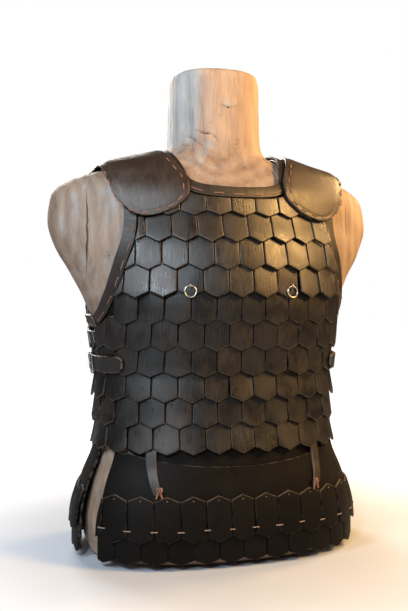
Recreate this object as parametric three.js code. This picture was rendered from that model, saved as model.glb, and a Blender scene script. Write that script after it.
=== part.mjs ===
// A scale cuirass on the wooden torso form that it rests on. Millimetres, +Z up.
// The origin is on the floor under the middle of the form. The front faces -Y, so the
// wearer's right side is at -X.
import * as THREE from 'three';

// The wooden form, as level sections: half width, front and back depth from the body's axis,
// and the power of the superellipse that each section is.
const FORM_SECTIONS = [
  { z: 0, half: 172, front: 109, back: 105, power: 2.3 },
  { z: 4, half: 180, front: 116, back: 111, power: 2.3 },
  { z: 12, half: 185, front: 120, back: 115, power: 2.3 },
  { z: 28, half: 189, front: 122, back: 118, power: 2.3 },
  { z: 50, half: 190, front: 122, back: 118, power: 2.3 },
  { z: 100, half: 181, front: 118, back: 112, power: 2.3 },
  { z: 150, half: 166, front: 110, back: 104, power: 2.3 },
  { z: 200, half: 163, front: 106, back: 98, power: 2.3 },
  { z: 243, half: 163, front: 106, back: 97, power: 2.3 },
  { z: 300, half: 170, front: 114, back: 104, power: 2.3 },
  { z: 325, half: 177, front: 118, back: 107, power: 2.2 },
  { z: 350, half: 187, front: 122, back: 110, power: 2.1 },
  { z: 388, half: 207, front: 123.5, back: 112.5, power: 1.9 },
  { z: 425, half: 229, front: 121, back: 112, power: 1.75 },
  { z: 462, half: 241, front: 113, back: 108, power: 1.65 },
  { z: 497, half: 236, front: 106.5, back: 99, power: 1.65 },
  { z: 514, half: 221, front: 96.5, back: 90, power: 1.7 },
  { z: 524, half: 201, front: 89, back: 84.5, power: 1.8 },
  { z: 530, half: 182, front: 84, back: 81, power: 1.85 },
  { z: 537, half: 150, front: 78.5, back: 75, power: 1.95 },
  { z: 546, half: 115, front: 73, back: 69.5, power: 2.0 },
  { z: 555, half: 84, front: 69, back: 67, power: 2.0 },
  { z: 565, half: 71, front: 66.8, back: 66, power: 2.0 },
  { z: 580, half: 67, front: 66, back: 65.5, power: 2.0 },
  { z: 660, half: 64.3, front: 64, back: 64, power: 2.0 },
  { z: 674, half: 62, front: 62, back: 62, power: 2.0 },
  { z: 678, half: 57, front: 57, back: 57, power: 2.0 },
];
const FORM_RING_HEIGHTS = [
  0, 4, 12, 28, 60, 95, 130, 165, 200, 240, 275, 300, 316, 328, 339, 351, 370, 395,
  422, 448, 470, 486, 500, 511, 520, 528, 535, 542, 549, 556, 564, 576, 604, 664, 674, 678,
];
const FORM_SIDES = 32;
const FORM_REACH = 320; // no point of the wood is further than this from its axis
const GRADIENT_STEP = 0.05;
const LINE_SOFTNESS = 10; // rounds the sections where they cross the front, back and side lines

// Leather: what lies on the form is stacked by these distances from the wood.
const BASE_GAP = 1.3;
const BASE_THICK = 2.0;
const BASE_OUTER = BASE_GAP + BASE_THICK;
const SEAM = 0.3;
const LAY = 1.1; // from the panels to the bindings that lie on them

// Scales: each row hangs over the next one, tips down and standing off.
const SCALE_WIDTH = 33.4;
// The middle of the even rows' scales from the centre line, by the height of their tips.
const SCALE_DRIFT = [
  { z: 147, shift: 4.5 },
  { z: 252, shift: 2 },
  { z: 321, shift: -1 },
  { z: 391, shift: -4.8 },
  { z: 461, shift: -12 },
];
const SCALE_POINT = 8;
const SCALE_LENGTH = 46;
const SCALE_THICK = 2.6;
const SCALE_TOP_LIFT = 1.5;
const SCALE_TIP_LIFT = 6.8;
const ROW_STEP = 34.9;
const FIRST_TIP = 461; // height of the tips of the highest full row
const FULL_ROWS = 10;
const GROOVE_HALF = 0.9;
const GROOVE_DEPTH = 1.3;
const EDGE_SQUEEZE = 0.8; // columns past a cut edge stand this far apart
const LEAST_PLATE = 4; // a plate that shows less than this past its neighbour is left out
const SCALE_LEVELS = [0, 1]; // where a plate bends, from its top to its tip
const ROW_SEAM = 4 * SEAM; // the scales end this far from a side seam

// Vest panels, in arc length from the front or back centre line.
const HEM = { centre: 122, side: 156, from: 100, to: 170 }; // the hem rises towards the sides
const SHOULDER_SEAM_HEIGHT = 484;
const BASE_ROWS = 10;
const BASE_ROW_CROWDING = 1.3; // the rows crowd towards the shoulders, where the form curves most
const SIDE_SEAM = [
  { z: 158, arc: 205 },
  { z: 200, arc: 200 },
  { z: 240, arc: 200 },
  { z: 300, arc: 206 },
  { z: 334, arc: 212 },
];
const ARMPIT_HEIGHT = 334;
const ARMHOLE = [
  { z: 334, arc: 212 },
  { z: 342, arc: 200 },
  { z: 365, arc: 184 },
  { z: 389, arc: 174 },
  { z: 411, arc: 166 },
  { z: 434, arc: 157 },
  { z: 452, arc: 153.5 },
  { z: 484, arc: 152 },
];
const NECK_COLUMN = 67.5; // the panels' neck ends here, and the shoulder seam starts
const SHOULDER_COLUMN = 70.5;
const SEAM_END_COLUMN = 152; // the shoulder seam ends and the armhole starts
const NECK_PANEL_COLUMNS = [0, 34, NECK_COLUMN];
const CORNER_COLUMNS = [68.3, 69.3];
const SHOULDER_COLUMNS = [SHOULDER_COLUMN, 90, 110, 131, SEAM_END_COLUMN];
const ARMHOLE_COLUMNS = [156, 165, 175, 186, 199, 212];
const BACK_SIDE_COLUMNS = [230, 248];
const NECK_LAY = 2;
const PANEL_UNDER_BINDING = 4; // the panels' neck edge lies this far below the binding's
const BAND_WIDTH = 17;
const BAND_THICK = 2.2;
const BAND_STEPS = { front: 11, back: 16 };
const BACK_BAND_START = [
  { z: 334, arc: 262 },
  { z: 334, arc: 240 },
  { z: 335.5, arc: 222 },
];
const BAND_CLEARANCE = 3;
const ROW_UNDER_BAND = { from: 176, to: 203, front: 315.5, back: 312 };
const ROW_UNDER_PAD = { from: 84, to: 98 };
const ROW_BINDING_REACH = 6; // a scale's top clears the binding this far towards the centre
const YOKE_MARGIN = 4; // the back's highest row ends this far inside the neck's end
const ARMPIT_STEP = 8; // the rows beside the armhole stop as they do this far above the armpit
const ARMPIT_MARGIN = 20; // rows whose tips are this far below the armpit end at the side seam

// The neck binding, by polar angle from the front: its lower and upper edge.
const NECKLINE = [
  { angle: 0, low: 488, high: 501 },
  { angle: 20, low: 489.5, high: 503 },
  { angle: 33, low: 496, high: 510 },
  { angle: 40, low: 512, high: 527 },
  { angle: 48, low: 530, high: 542 },
  { angle: 60, low: 545, high: 553 },
  { angle: 75, low: 552, high: 558.5 },
  { angle: 90, low: 554.5, high: 560.5 },
  { angle: 120, low: 550, high: 556.5 },
  { angle: 150, low: 536, high: 547 },
  { angle: 180, low: 530, high: 543 },
];
const NECK_STEPS = 22;
const NECK_HEIGHT = { front: 501, back: 538 }; // where arc lengths are turned into angles

// Shoulder pieces, in planes across the body: a point is found at a tilt from straight up
// round the line at this height, and the front is a positive tilt.
const SHOULDER_PIVOT_HEIGHT = 440;
const STRAP_RIDGE = { inner: 80, outer: 166 };
const STRAP_END = { inner: 71, outer: 145 };
const STRAP_GAP = 1.9;
const STRAP_ACROSS = 4;
const STRAP_ALONG = 12;
const STRAP_TILTS = { least: 20, most: 85 }; // the strap's ends are sought between these
// The pad's edges, by share of the tilt from the ridge to a lobe's end.
const PAD_LOBE = [
  { share: 0, inner: 97, outer: 178 },
  { share: 0.3, inner: 89, outer: 174 },
  { share: 0.55, inner: 76, outer: 167 },
  { share: 0.7, inner: 66.5, outer: 160 },
  { share: 0.8, inner: 66, outer: 153 },
  { share: 0.89, inner: 77, outer: 144 },
  { share: 0.955, inner: 92, outer: 135 },
  { share: 0.985, inner: 104, outer: 128 },
  { share: 1, inner: 114, outer: 121 },
];
// How far the pad stands off, by the same share: it steps over the neck binding and the scales.
const PAD_LIFT = [
  { share: 0, lift: 5.8 },
  { share: 0.12, lift: 7.4 },
  { share: 0.25, lift: 9.6 },
  { share: 0.6, lift: 10.4 },
  { share: 1, lift: 13.8 },
];
const PAD_END_TILT = 78;
const PAD_THICK = 3;
const PAD_ACROSS = 6;
const PAD_ALONG = 16;

// Skirt: its flare from the wood by height, at the sides and at the front centre's share.
const SKIRT_FLARE = [
  { z: 50, lift: 9.5 },
  { z: 60, lift: 9.5 },
  { z: 85, lift: 9 },
  { z: 97, lift: 8.2 },
  { z: 116, lift: 6.4 },
  { z: 131, lift: 5.2 },
  { z: 150, lift: 4.8 },
];
const FLARE_LEAST = 4.8;
const FLARE_CENTRE_SHARE = 0.45;
const FLARE_TURN = { from: 20, to: 65 }; // degrees from the centre over which the flare grows
const SKIRT_PANEL_THICK = 2.2;
const SKIRT_PANEL_HEIGHTS = [14, 60, 85, 97, 108, 120];
const SKIRT_ACROSS = 16;
const SKIRT_STRAIGHT = 50; // below this height the skirt hangs straight, clear of the rounded edge
const SKIRT_TOP_CENTRE = 130;
const SKIRT_TOP_RISE = 14;
const SKIRT_TOP_REACH = 133;
const SKIRT_TOP_MOST = 147;
const SKIRT_FRONT_EDGES = { low: -69, high: 95 }; // degrees from the front centre
const SKIRT_BACK_EDGES = { low: -99, high: 83 }; // degrees from the back centre
const LONG_PLATES = {
  top: 88, peak: 7, tip: 37, point: 8, width: 32.6, offset: 0,
  topLift: 0.9, tipLift: 5.4, levels: [0, 0.45, 1],
};
const SHORT_PLATES = {
  top: 50, peak: 0, tip: 8, point: 6, width: 32.6, offset: 16.3,
  topLift: 0.6, tipLift: 0.9, levels: SCALE_LEVELS,
};
const PLATE_THICK = 2.4;

// Suspension straps between the vest's hem and the skirt.
const HANGER_ARC = 114;
const HANGER_WIDTH = 14;
const HANGER_THICK = 2.2;
const HANGER_PATH = [
  { z: 166, lift: 4.7 },
  { z: 157, lift: 5.4 },
  { z: 149, lift: 7.3 },
  { z: 140, lift: 8.2 },
  { z: 128, lift: 8.8 },
  { z: 115, lift: 10.8 },
  { z: 104, lift: 12.2 },
  { z: 96.5, lift: 12.9 },
];

// Side straps and buckles at the waist, on both sides.
const WAIST_STRAP = { low: 256, high: 279, thick: 2.2, lift: 13.3, steps: 8 };
const WAIST_STRAP_FRONT = { from: 150, to: 213 };
const WAIST_STRAP_BACK = { from: 213.5, to: 252 };
const BUCKLE = { arc: 214, height: 267.5, tall: 31, wide: 18, bar: 3, thick: 2.6, lift: 16 };
const PRONG = { radius: 1.2, length: 17, lift: 20.2, sides: 8 };

// Rings on the chest, each hanging in a staple on a scale of the fourth row.
const RING_ARC = 69.3;
const RING_TOP_HEIGHT = 371;
const RING_MEAN_RADIUS = 7.5;
const RING_WIRE = 1;
const RING_LIFT = 12.5; // from the wood to the middle of the wire at the top
const RING_LEAN = 0.12; // the ring lies along its scale, tip outward, in radians
const RING_SEGMENTS = 16;
const WIRE_SIDES = 6;
const STAPLE_WIRE = 0.8;
const STAPLE_HALF = 2.6; // from the ring's wire to the middle of the staple's
const STAPLE_LEG = 1.3;
const STAPLE_STEPS = 10;
const STAPLE_BENDS = 6;

const MATERIALS = {
  wood: { color: 0xb98a5c, roughness: 0.7, metalness: 0 },
  leather: { color: 0x2b211c, roughness: 0.45, metalness: 0 },
  padLeather: { color: 0x4a3125, roughness: 0.5, metalness: 0 },
  steel: { color: 0xb8b8b8, roughness: 0.3, metalness: 1 },
};

// A smooth curve through a table's rows that never overshoots them.
function smoothTable(rows, key, column) {
  const xs = rows.map((row) => row[key]);
  const ys = rows.map((row) => row[column]);
  const last = xs.length - 1;
  const steps = xs.slice(1).map((x, i) => (ys[i + 1] - ys[i]) / (x - xs[i]));
  const slopes = xs.map((x, i) => {
    if (i === 0) return steps[0];
    if (i === last) return steps[last - 1];
    const before = x - xs[i - 1];
    const after = xs[i + 1] - x;
    const mean = (steps[i - 1] * after + steps[i] * before) / (before + after);
    const least = Math.min(Math.abs(steps[i - 1]), Math.abs(steps[i]), Math.abs(mean) / 2);
    return (Math.sign(steps[i - 1]) + Math.sign(steps[i])) * least;
  });
  return (x) => {
    if (x <= xs[0]) return ys[0];
    if (x >= xs[last]) return ys[last];
    const i = xs.findIndex((edge) => edge > x) - 1;
    const span = xs[i + 1] - xs[i];
    const t = (x - xs[i]) / span;
    const a = (1 + 2 * t) * (1 - t) ** 2 * ys[i];
    const b = t * (1 - t) ** 2 * span * slopes[i];
    const c = t * t * (3 - 2 * t) * ys[i + 1];
    const d = t * t * (t - 1) * span * slopes[i + 1];
    return a + b + c + d;
  };
}

const formHalf = smoothTable(FORM_SECTIONS, 'z', 'half');
const formFront = smoothTable(FORM_SECTIONS, 'z', 'front');
const formBack = smoothTable(FORM_SECTIONS, 'z', 'back');
const formPower = smoothTable(FORM_SECTIONS, 'z', 'power');

function soften(t) {
  return Math.sqrt(t * t + LINE_SOFTNESS * LINE_SOFTNESS) - LINE_SOFTNESS;
}

// Below 0 inside the wood, 0 on its surface and above 0 outside it.
function formLevel(x, y, z) {
  const depth = y < 0 ? formFront(z) : formBack(z);
  const power = formPower(z);
  const across = (soften(x) / soften(formHalf(z))) ** power;
  return across + (soften(y) / soften(depth)) ** power - 1;
}

function rootBetween(low, high, value) {
  for (let step = 0; step < 40; step += 1) {
    const middle = (low + high) / 2;
    if (value(middle) < 0) low = middle;
    else high = middle;
  }
  return (low + high) / 2;
}

// The wood's point at a height and a polar angle, in degrees from the front to the left side.
function polarPoint(degrees, z) {
  const angle = THREE.MathUtils.degToRad(degrees);
  const sin = Math.sin(angle);
  const cos = Math.cos(angle);
  const radius = rootBetween(1, FORM_REACH, (r) => formLevel(r * sin, -r * cos, z));
  return new THREE.Vector3(radius * sin, -radius * cos, z);
}

const outlines = new Map();

// Arc lengths round half a section, one for each degree from the front to the back.
function outline(z) {
  const key = z.toFixed(4);
  if (!outlines.has(key)) {
    const arcs = [0];
    let before = polarPoint(0, z);
    for (let degree = 1; degree <= 180; degree += 1) {
      const point = polarPoint(degree, z);
      arcs.push(arcs[degree - 1] + point.distanceTo(before));
      before = point;
    }
    outlines.set(key, arcs);
  }
  return outlines.get(key);
}

function halfGirth(z) {
  return outline(z)[180];
}

function arcAtAngle(degrees, z) {
  const arcs = outline(z);
  const whole = Math.min(Math.floor(degrees), 179);
  return arcs[whole] + (degrees - whole) * (arcs[whole + 1] - arcs[whole]);
}

function angleAtArc(arc, z) {
  const arcs = outline(z);
  const next = Math.max(1, arcs.findIndex((a) => a >= arc));
  return next - 1 + (arc - arcs[next - 1]) / (arcs[next] - arcs[next - 1]);
}

function outward(point) {
  const h = GRADIENT_STEP;
  const { x, y, z } = point;
  return new THREE.Vector3(
    formLevel(x + h, y, z) - formLevel(x - h, y, z),
    formLevel(x, y + h, z) - formLevel(x, y - h, z),
    formLevel(x, y, z + h) - formLevel(x, y, z - h),
  ).normalize();
}

function liftOff(point, lift) {
  return point.clone().addScaledVector(outward(point), lift);
}

// A point by arc length from the front centre line, left side positive, lifted off the wood.
function onFront(arc, z, lift) {
  const point = polarPoint(angleAtArc(Math.abs(arc), z), z);
  point.x *= arc < 0 ? -1 : 1;
  return liftOff(point, lift);
}

// The same, by arc length from the back centre line.
function onBack(arc, z, lift) {
  const fromFront = halfGirth(z) - Math.abs(arc);
  return onFront(arc < 0 ? -fromFront : fromFront, z, lift);
}

function onShoulder(x, tilt, lift) {
  const angle = THREE.MathUtils.degToRad(tilt);
  const sin = Math.sin(angle);
  const cos = Math.cos(angle);
  const at = (r) => [x, -r * sin, SHOULDER_PIVOT_HEIGHT + r * cos];
  const radius = rootBetween(1, FORM_REACH, (r) => formLevel(...at(r)));
  return liftOff(new THREE.Vector3(...at(radius)), lift);
}

// A closed body from its points and triangles, turned so that its faces point out.
function closedBody(points, faces) {
  let volume = 0;
  for (const [a, b, c] of faces) {
    volume += points[a].dot(new THREE.Vector3().crossVectors(points[b], points[c]));
  }
  const turned = volume < 0 ? faces.map(([a, b, c]) => [a, c, b]) : faces;
  const geometry = new THREE.BufferGeometry();
  const numbers = points.flatMap((point) => point.toArray());
  geometry.setAttribute('position', new THREE.Float32BufferAttribute(numbers, 3));
  geometry.setIndex(turned.flat());
  geometry.computeVertexNormals();
  return geometry;
}

// How far the middle between two points stands out of the wood.
function middleLevel(a, b) {
  return formLevel((a.x + b.x) / 2, (a.y + b.y) / 2, (a.z + b.z) / 2);
}

// Two triangles for a four-sided face, split along the diagonal that stands further out, or
// further in, so that leather clears the wood where the form is saddle-shaped.
function splitFace(points, [a, b, c, d], furtherOut) {
  const straight = middleLevel(points[a], points[c]) > middleLevel(points[b], points[d]);
  return straight === furtherOut ? [[a, b, c], [a, c, d]] : [[a, b, d], [b, c, d]];
}

// A leather wall over a grid. place(i, j) gives a point's inner and outer position.
function wall(across, along, place) {
  const points = [];
  const index = (i, j, side) => 2 * (i * (along + 1) + j) + side;
  for (let i = 0; i <= across; i += 1) {
    for (let j = 0; j <= along; j += 1) points.push(...place(i, j));
  }
  const faces = [];
  const quad = (...corners) => faces.push(...splitFace(points, corners, true));
  for (let i = 0; i < across; i += 1) {
    for (let j = 0; j < along; j += 1) {
      quad(index(i, j, 1), index(i + 1, j, 1), index(i + 1, j + 1, 1), index(i, j + 1, 1));
      quad(index(i, j, 0), index(i, j + 1, 0), index(i + 1, j + 1, 0), index(i + 1, j, 0));
    }
    quad(index(i, 0, 0), index(i + 1, 0, 0), index(i + 1, 0, 1), index(i, 0, 1));
    quad(index(i, along, 0), index(i, along, 1), index(i + 1, along, 1), index(i + 1, along, 0));
  }
  for (let j = 0; j < along; j += 1) {
    quad(index(0, j, 0), index(0, j, 1), index(0, j + 1, 1), index(0, j + 1, 0));
    quad(index(across, j, 0), index(across, j + 1, 0), index(across, j + 1, 1), index(across, j, 1));
  }
  return closedBody(points, faces);
}

// Distance from a scale's middle line, 0 to 1, where one scale's middle is at the offset.
function fromMiddle(arc, offset, width) {
  const turns = (arc - offset) / width;
  return 2 * Math.abs(turns - Math.round(turns));
}

// One row of pointed plates as one body. Neighbours join under a groove. `on` maps arc length,
// height and lift; `edges` gives the row's two ends at a height; `top` the height of its top.
function plateRow({ on, offset, edges, top, tip, point, width, thick, levels, lift }) {
  const columns = [];
  const ends = [top(0), tip].map((z) => edges(z));
  const least = Math.min(...ends.map(([low]) => low));
  const most = Math.max(...ends.map(([, high]) => high));
  const first = Math.ceil((least + LEAST_PLATE - width / 2 - offset) / width);
  const last = Math.floor((most - LEAST_PLATE + width / 2 - offset) / width);
  for (let k = first; k <= last; k += 1) {
    const middle = offset + k * width;
    if (!columns.length) columns.push({ arc: middle - width / 2, joint: true });
    columns.push(
      { arc: middle - width / 2 + GROOVE_HALF, near: true },
      { arc: middle },
      { arc: middle + width / 2 - GROOVE_HALF, near: true },
      { arc: middle + width / 2, joint: true },
    );
  }
  const lastColumn = columns.length - 1;
  const held = (i, z) => {
    const [low, high] = edges(z);
    const end = high - (lastColumn - i) * EDGE_SQUEEZE;
    const start = low + i * EDGE_SQUEEZE;
    return Math.min(end, Math.max(start, columns[i].arc));
  };
  const points = [];
  const outer = [];
  const inner = [];
  for (let i = 0; i <= lastColumn; i += 1) {
    const zig = (arc) => tip + point * fromMiddle(arc, offset, width);
    const bottomArc = held(i, zig(columns[i].arc));
    const low = zig(bottomArc);
    const high = top(held(i, top(columns[i].arc)));
    outer.push([]);
    inner.push([]);
    for (const level of levels) {
      const z = high + (low - high) * level;
      const arc = level === 1 ? bottomArc : held(i, z);
      const rise = lift(arc, z);
      const groove = columns[i].joint ? GROOVE_DEPTH : 0;
      outer[i].push(points.push(on(arc, z, rise + thick - groove)) - 1);
      if (!columns[i].near) inner[i].push(points.push(on(arc, z, rise)) - 1);
    }
  }
  const faces = [];
  const fan = (...corners) => {
    for (let n = 1; n < corners.length - 1; n += 1) {
      faces.push([corners[0], corners[n], corners[n + 1]]);
    }
  };
  const lowest = levels.length - 1;
  for (let i = 0; i < lastColumn; i += 2) {
    for (let n = 0; n < lowest; n += 1) {
      fan(outer[i][n], outer[i][n + 1], outer[i + 1][n + 1], outer[i + 1][n]);
      fan(outer[i + 1][n], outer[i + 1][n + 1], outer[i + 2][n + 1], outer[i + 2][n]);
      fan(inner[i][n], inner[i + 2][n], inner[i + 2][n + 1], inner[i][n + 1]);
    }
    fan(outer[i + 1][0], outer[i + 2][0], inner[i + 2][0], inner[i][0], outer[i][0]);
    const under = [outer[i][lowest], inner[i][lowest], inner[i + 2][lowest], outer[i + 2][lowest]];
    fan(outer[i + 1][lowest], ...under);
  }
  for (let n = 0; n < lowest; n += 1) {
    fan(outer[0][n], inner[0][n], inner[0][n + 1], outer[0][n + 1]);
    const end = lastColumn;
    fan(outer[end][n], outer[end][n + 1], inner[end][n + 1], inner[end][n]);
  }
  return closedBody(points, faces);
}

const cuirass = new THREE.Group();

function add(name, geometry, material) {
  const mesh = new THREE.Mesh(geometry, new THREE.MeshStandardMaterial(MATERIALS[material]));
  mesh.name = name;
  cuirass.add(mesh);
  return mesh;
}

function torsoForm() {
  const points = [];
  const faces = [];
  const rings = FORM_RING_HEIGHTS.length;
  for (const z of FORM_RING_HEIGHTS) {
    for (let side = 0; side < FORM_SIDES; side += 1) {
      const share = (2 * side) / FORM_SIDES;
      const turn = share <= 1 ? share : 2 - share;
      const point = polarPoint(angleAtArc(turn * halfGirth(z), z), z);
      point.x *= share <= 1 ? 1 : -1;
      points.push(point);
    }
  }
  const bottom = points.push(new THREE.Vector3(0, 0, 0)) - 1;
  const crown = points.push(new THREE.Vector3(0, 0, FORM_RING_HEIGHTS[rings - 1])) - 1;
  for (let side = 0; side < FORM_SIDES; side += 1) {
    const next = (side + 1) % FORM_SIDES;
    for (let ring = 0; ring < rings - 1; ring += 1) {
      const a = ring * FORM_SIDES + side;
      const b = ring * FORM_SIDES + next;
      faces.push(...splitFace(points, [a, b, b + FORM_SIDES, a + FORM_SIDES], false));
    }
    const highest = (rings - 1) * FORM_SIDES;
    faces.push([bottom, next, side], [crown, highest + side, highest + next]);
  }
  return closedBody(points, faces);
}

const sideSeam = smoothTable(SIDE_SEAM, 'z', 'arc');
const armhole = smoothTable(ARMHOLE, 'z', 'arc');
const armholeHeight = smoothTable([...ARMHOLE].reverse(), 'arc', 'z');
const neckLow = smoothTable(NECKLINE, 'angle', 'low');
const neckHigh = smoothTable(NECKLINE, 'angle', 'high');

// The polar angle of an arc length near the neck opening.
function neckAngle(arc, isBack) {
  const z = isBack ? NECK_HEIGHT.back : NECK_HEIGHT.front;
  return angleAtArc(isBack ? halfGirth(z) - arc : arc, z);
}

function panelTop(arc, isBack) {
  if (arc <= NECK_COLUMN) {
    return neckHigh(neckAngle(arc, isBack)) - PANEL_UNDER_BINDING;
  }
  if (arc < SHOULDER_COLUMN) {
    const share = (arc - NECK_COLUMN) / (SHOULDER_COLUMN - NECK_COLUMN);
    return THREE.MathUtils.lerp(panelTop(NECK_COLUMN, isBack), SHOULDER_SEAM_HEIGHT, share);
  }
  if (arc <= SEAM_END_COLUMN) return SHOULDER_SEAM_HEIGHT;
  return arc > ARMHOLE[0].arc ? ARMPIT_HEIGHT : armholeHeight(arc);
}

function backSeam(z) {
  return halfGirth(z) - sideSeam(z) - SEAM;
}

function basePanel(isBack) {
  const seam = isBack ? backSeam : sideSeam;
  const on = isBack ? onBack : onFront;
  const widest = seam(ARMPIT_HEIGHT);
  const half = [
    ...NECK_PANEL_COLUMNS,
    ...CORNER_COLUMNS,
    ...SHOULDER_COLUMNS,
    ...ARMHOLE_COLUMNS,
    ...(isBack ? [...BACK_SIDE_COLUMNS, widest] : []),
  ];
  const columns = [...half.slice(1).reverse().map((arc) => -arc), ...half];
  return wall(columns.length - 1, BASE_ROWS, (i, j) => {
    const top = panelTop(Math.abs(columns[i]), isBack);
    const sideways = THREE.MathUtils.smoothstep(Math.abs(columns[i]), HEM.from, HEM.to);
    const hem = THREE.MathUtils.lerp(HEM.centre, HEM.side, sideways);
    const rise = 1 - (1 - j / BASE_ROWS) ** BASE_ROW_CROWDING;
    const z = hem + (top - hem) * rise;
    const narrowed = z < ARMPIT_HEIGHT ? seam(z) / widest : 1;
    const arc = columns[i] * narrowed;
    return [on(arc, z, BASE_GAP), on(arc, z, BASE_OUTER)];
  });
}

// A binding round the neck's front or back half, on the panels' edges.
function neckBand(isBack) {
  const half = 90 - SEAM;
  return wall(NECK_STEPS, 1, (i, j) => {
    const turn = THREE.MathUtils.lerp(-half, half, i / NECK_STEPS);
    const angle = isBack ? 180 - Math.abs(turn) : Math.abs(turn);
    const z = THREE.MathUtils.lerp(neckLow(angle), neckHigh(angle), j);
    const point = polarPoint(angle, z);
    point.x *= turn < 0 ? -1 : 1;
    const lift = BASE_OUTER + NECK_LAY;
    return [liftOff(point, lift), liftOff(point, lift + BAND_THICK)];
  });
}

// A binding along an armhole's edge. side is 1 on the wearer's left and -1 on the right.
function armholeBand(isBack, side) {
  const rows = isBack ? [...BACK_BAND_START, ...ARMHOLE.slice(1)] : ARMHOLE;
  const path = new THREE.CatmullRomCurve3(rows.map(({ arc, z }) => new THREE.Vector3(arc, z, 0)));
  const steps = isBack ? BAND_STEPS.back : BAND_STEPS.front;
  const on = isBack ? onBack : onFront;
  return wall(steps, 1, (i, j) => {
    const edge = path.getPointAt(i / steps);
    const along = path.getTangentAt(i / steps);
    const inset = j * BAND_WIDTH;
    const arc = side * (edge.x - along.y * inset);
    const z = edge.y + along.x * inset;
    const lift = BASE_OUTER + LAY;
    return [on(arc, z, lift), on(arc, z, lift + BAND_THICK)];
  });
}

// A strap over the shoulder, from the front panel's seam to the back panel's.
function shoulderStrap(side) {
  return wall(STRAP_ACROSS, STRAP_ALONG, (i, j) => {
    const turn = (2 * j) / STRAP_ALONG - 1;
    const at = (end) => THREE.MathUtils.lerp(end.inner, end.outer, i / STRAP_ACROSS);
    const seamX = at(STRAP_END);
    const seamHeight = SHOULDER_SEAM_HEIGHT + SEAM;
    const direction = turn < 0 ? -1 : 1;
    const rise = (tilt) => seamHeight - onShoulder(seamX, direction * tilt, 0).z;
    const tilt = turn * rootBetween(STRAP_TILTS.least, STRAP_TILTS.most, rise);
    const x = side * THREE.MathUtils.lerp(at(STRAP_RIDGE), seamX, Math.abs(turn));
    return [onShoulder(x, tilt, STRAP_GAP), onShoulder(x, tilt, STRAP_GAP + BASE_THICK)];
  });
}

const padInner = smoothTable(PAD_LOBE, 'share', 'inner');
const padOuter = smoothTable(PAD_LOBE, 'share', 'outer');
const padLift = smoothTable(PAD_LIFT, 'share', 'lift');

// A shoulder pad: two rounded lobes joined over the ridge, standing off towards their ends.
function shoulderPad(side) {
  return wall(PAD_ACROSS, PAD_ALONG, (i, j) => {
    const share = Math.sin((Math.PI / 2) * ((2 * j) / PAD_ALONG - 1));
    const out = Math.abs(share);
    const x = side * THREE.MathUtils.lerp(padInner(out), padOuter(out), i / PAD_ACROSS);
    const lift = padLift(out);
    const tilt = share * PAD_END_TILT;
    return [onShoulder(x, tilt, lift), onShoulder(x, tilt, lift + PAD_THICK)];
  });
}

// Where the tops of a row of scales must stop, under the neck binding and the armpit.
function rowCeiling(arc, isBack) {
  const away = Math.abs(arc);
  const { from, to } = ROW_UNDER_BAND;
  if (away > from) {
    const under = isBack ? ROW_UNDER_BAND.back : ROW_UNDER_BAND.front;
    return THREE.MathUtils.lerp(ARMPIT_HEIGHT, under, Math.min(1, (away - from) / (to - from)));
  }
  const nearer = Math.max(0, away - ROW_BINDING_REACH);
  const binding = neckLow(neckAngle(nearer, isBack)) - 5 * SEAM;
  if (away < ROW_UNDER_PAD.from) return binding;
  const hidden = (away - ROW_UNDER_PAD.from) / (ROW_UNDER_PAD.to - ROW_UNDER_PAD.from);
  const seam = SHOULDER_SEAM_HEIGHT - 4 * SEAM;
  return THREE.MathUtils.lerp(Math.max(binding, seam), seam, Math.min(1, hidden));
}

const scaleDrift = smoothTable(SCALE_DRIFT, 'z', 'shift');

// A row of scales by the height of its tips. The rows alternate by half a scale.
function scaleRow(isBack, number) {
  const tip = FIRST_TIP - ROW_STEP * (number - 1);
  const full = tip + SCALE_LENGTH;
  const seam = (z) => (isBack ? backSeam(z) : sideSeam(z)) - ROW_SEAM;
  const aboveArmpit = tip > ARMPIT_HEIGHT - ARMPIT_MARGIN;
  const reach = (z) => {
    if (number === 0) return NECK_COLUMN - YOKE_MARGIN;
    if (!aboveArmpit) return seam(Math.min(z, ARMPIT_HEIGHT));
    const height = Math.max(z, ARMPIT_HEIGHT + ARMPIT_STEP);
    const slope = armhole(height + 1) - armhole(height - 1);
    return armhole(height) - BAND_WIDTH * Math.hypot(1, slope / 2) - BAND_CLEARANCE;
  };
  return plateRow({
    on: isBack ? onBack : onFront,
    offset: scaleDrift(tip) + (number % 2 === 0 ? 0 : SCALE_WIDTH / 2),
    edges: (z) => [-reach(z), reach(z)],
    top: (arc) => Math.min(full, aboveArmpit && number > 1 ? full : rowCeiling(arc, isBack)),
    tip,
    point: SCALE_POINT,
    width: SCALE_WIDTH,
    thick: SCALE_THICK,
    levels: SCALE_LEVELS,
    lift: (arc, z) => {
      const share = (full - z) / SCALE_LENGTH;
      return BASE_OUTER + THREE.MathUtils.lerp(SCALE_TOP_LIFT, SCALE_TIP_LIFT, share);
    },
  });
}

const skirtFlare = smoothTable(SKIRT_FLARE, 'z', 'lift');

function skirtLift(arc, z, isBack) {
  const away = Math.min(Math.abs(arc), halfGirth(z) - 1);
  const angle = angleAtArc(away, z);
  const side = isBack ? 180 - angleAtArc(halfGirth(z) - away, z) : angle;
  const turned = THREE.MathUtils.smoothstep(Math.min(side, 180 - side), FLARE_TURN.from, FLARE_TURN.to);
  const share = THREE.MathUtils.lerp(FLARE_CENTRE_SHARE, 1, turned);
  return FLARE_LEAST + (skirtFlare(z) - FLARE_LEAST) * share;
}

function skirtEdges(z, isBack) {
  const { low, high } = isBack ? SKIRT_BACK_EDGES : SKIRT_FRONT_EDGES;
  const arcTo = (degrees) => {
    const angle = Math.abs(degrees);
    return isBack ? halfGirth(z) - arcAtAngle(180 - angle, z) : arcAtAngle(angle, z);
  };
  return [-arcTo(low), arcTo(high)];
}

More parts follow.
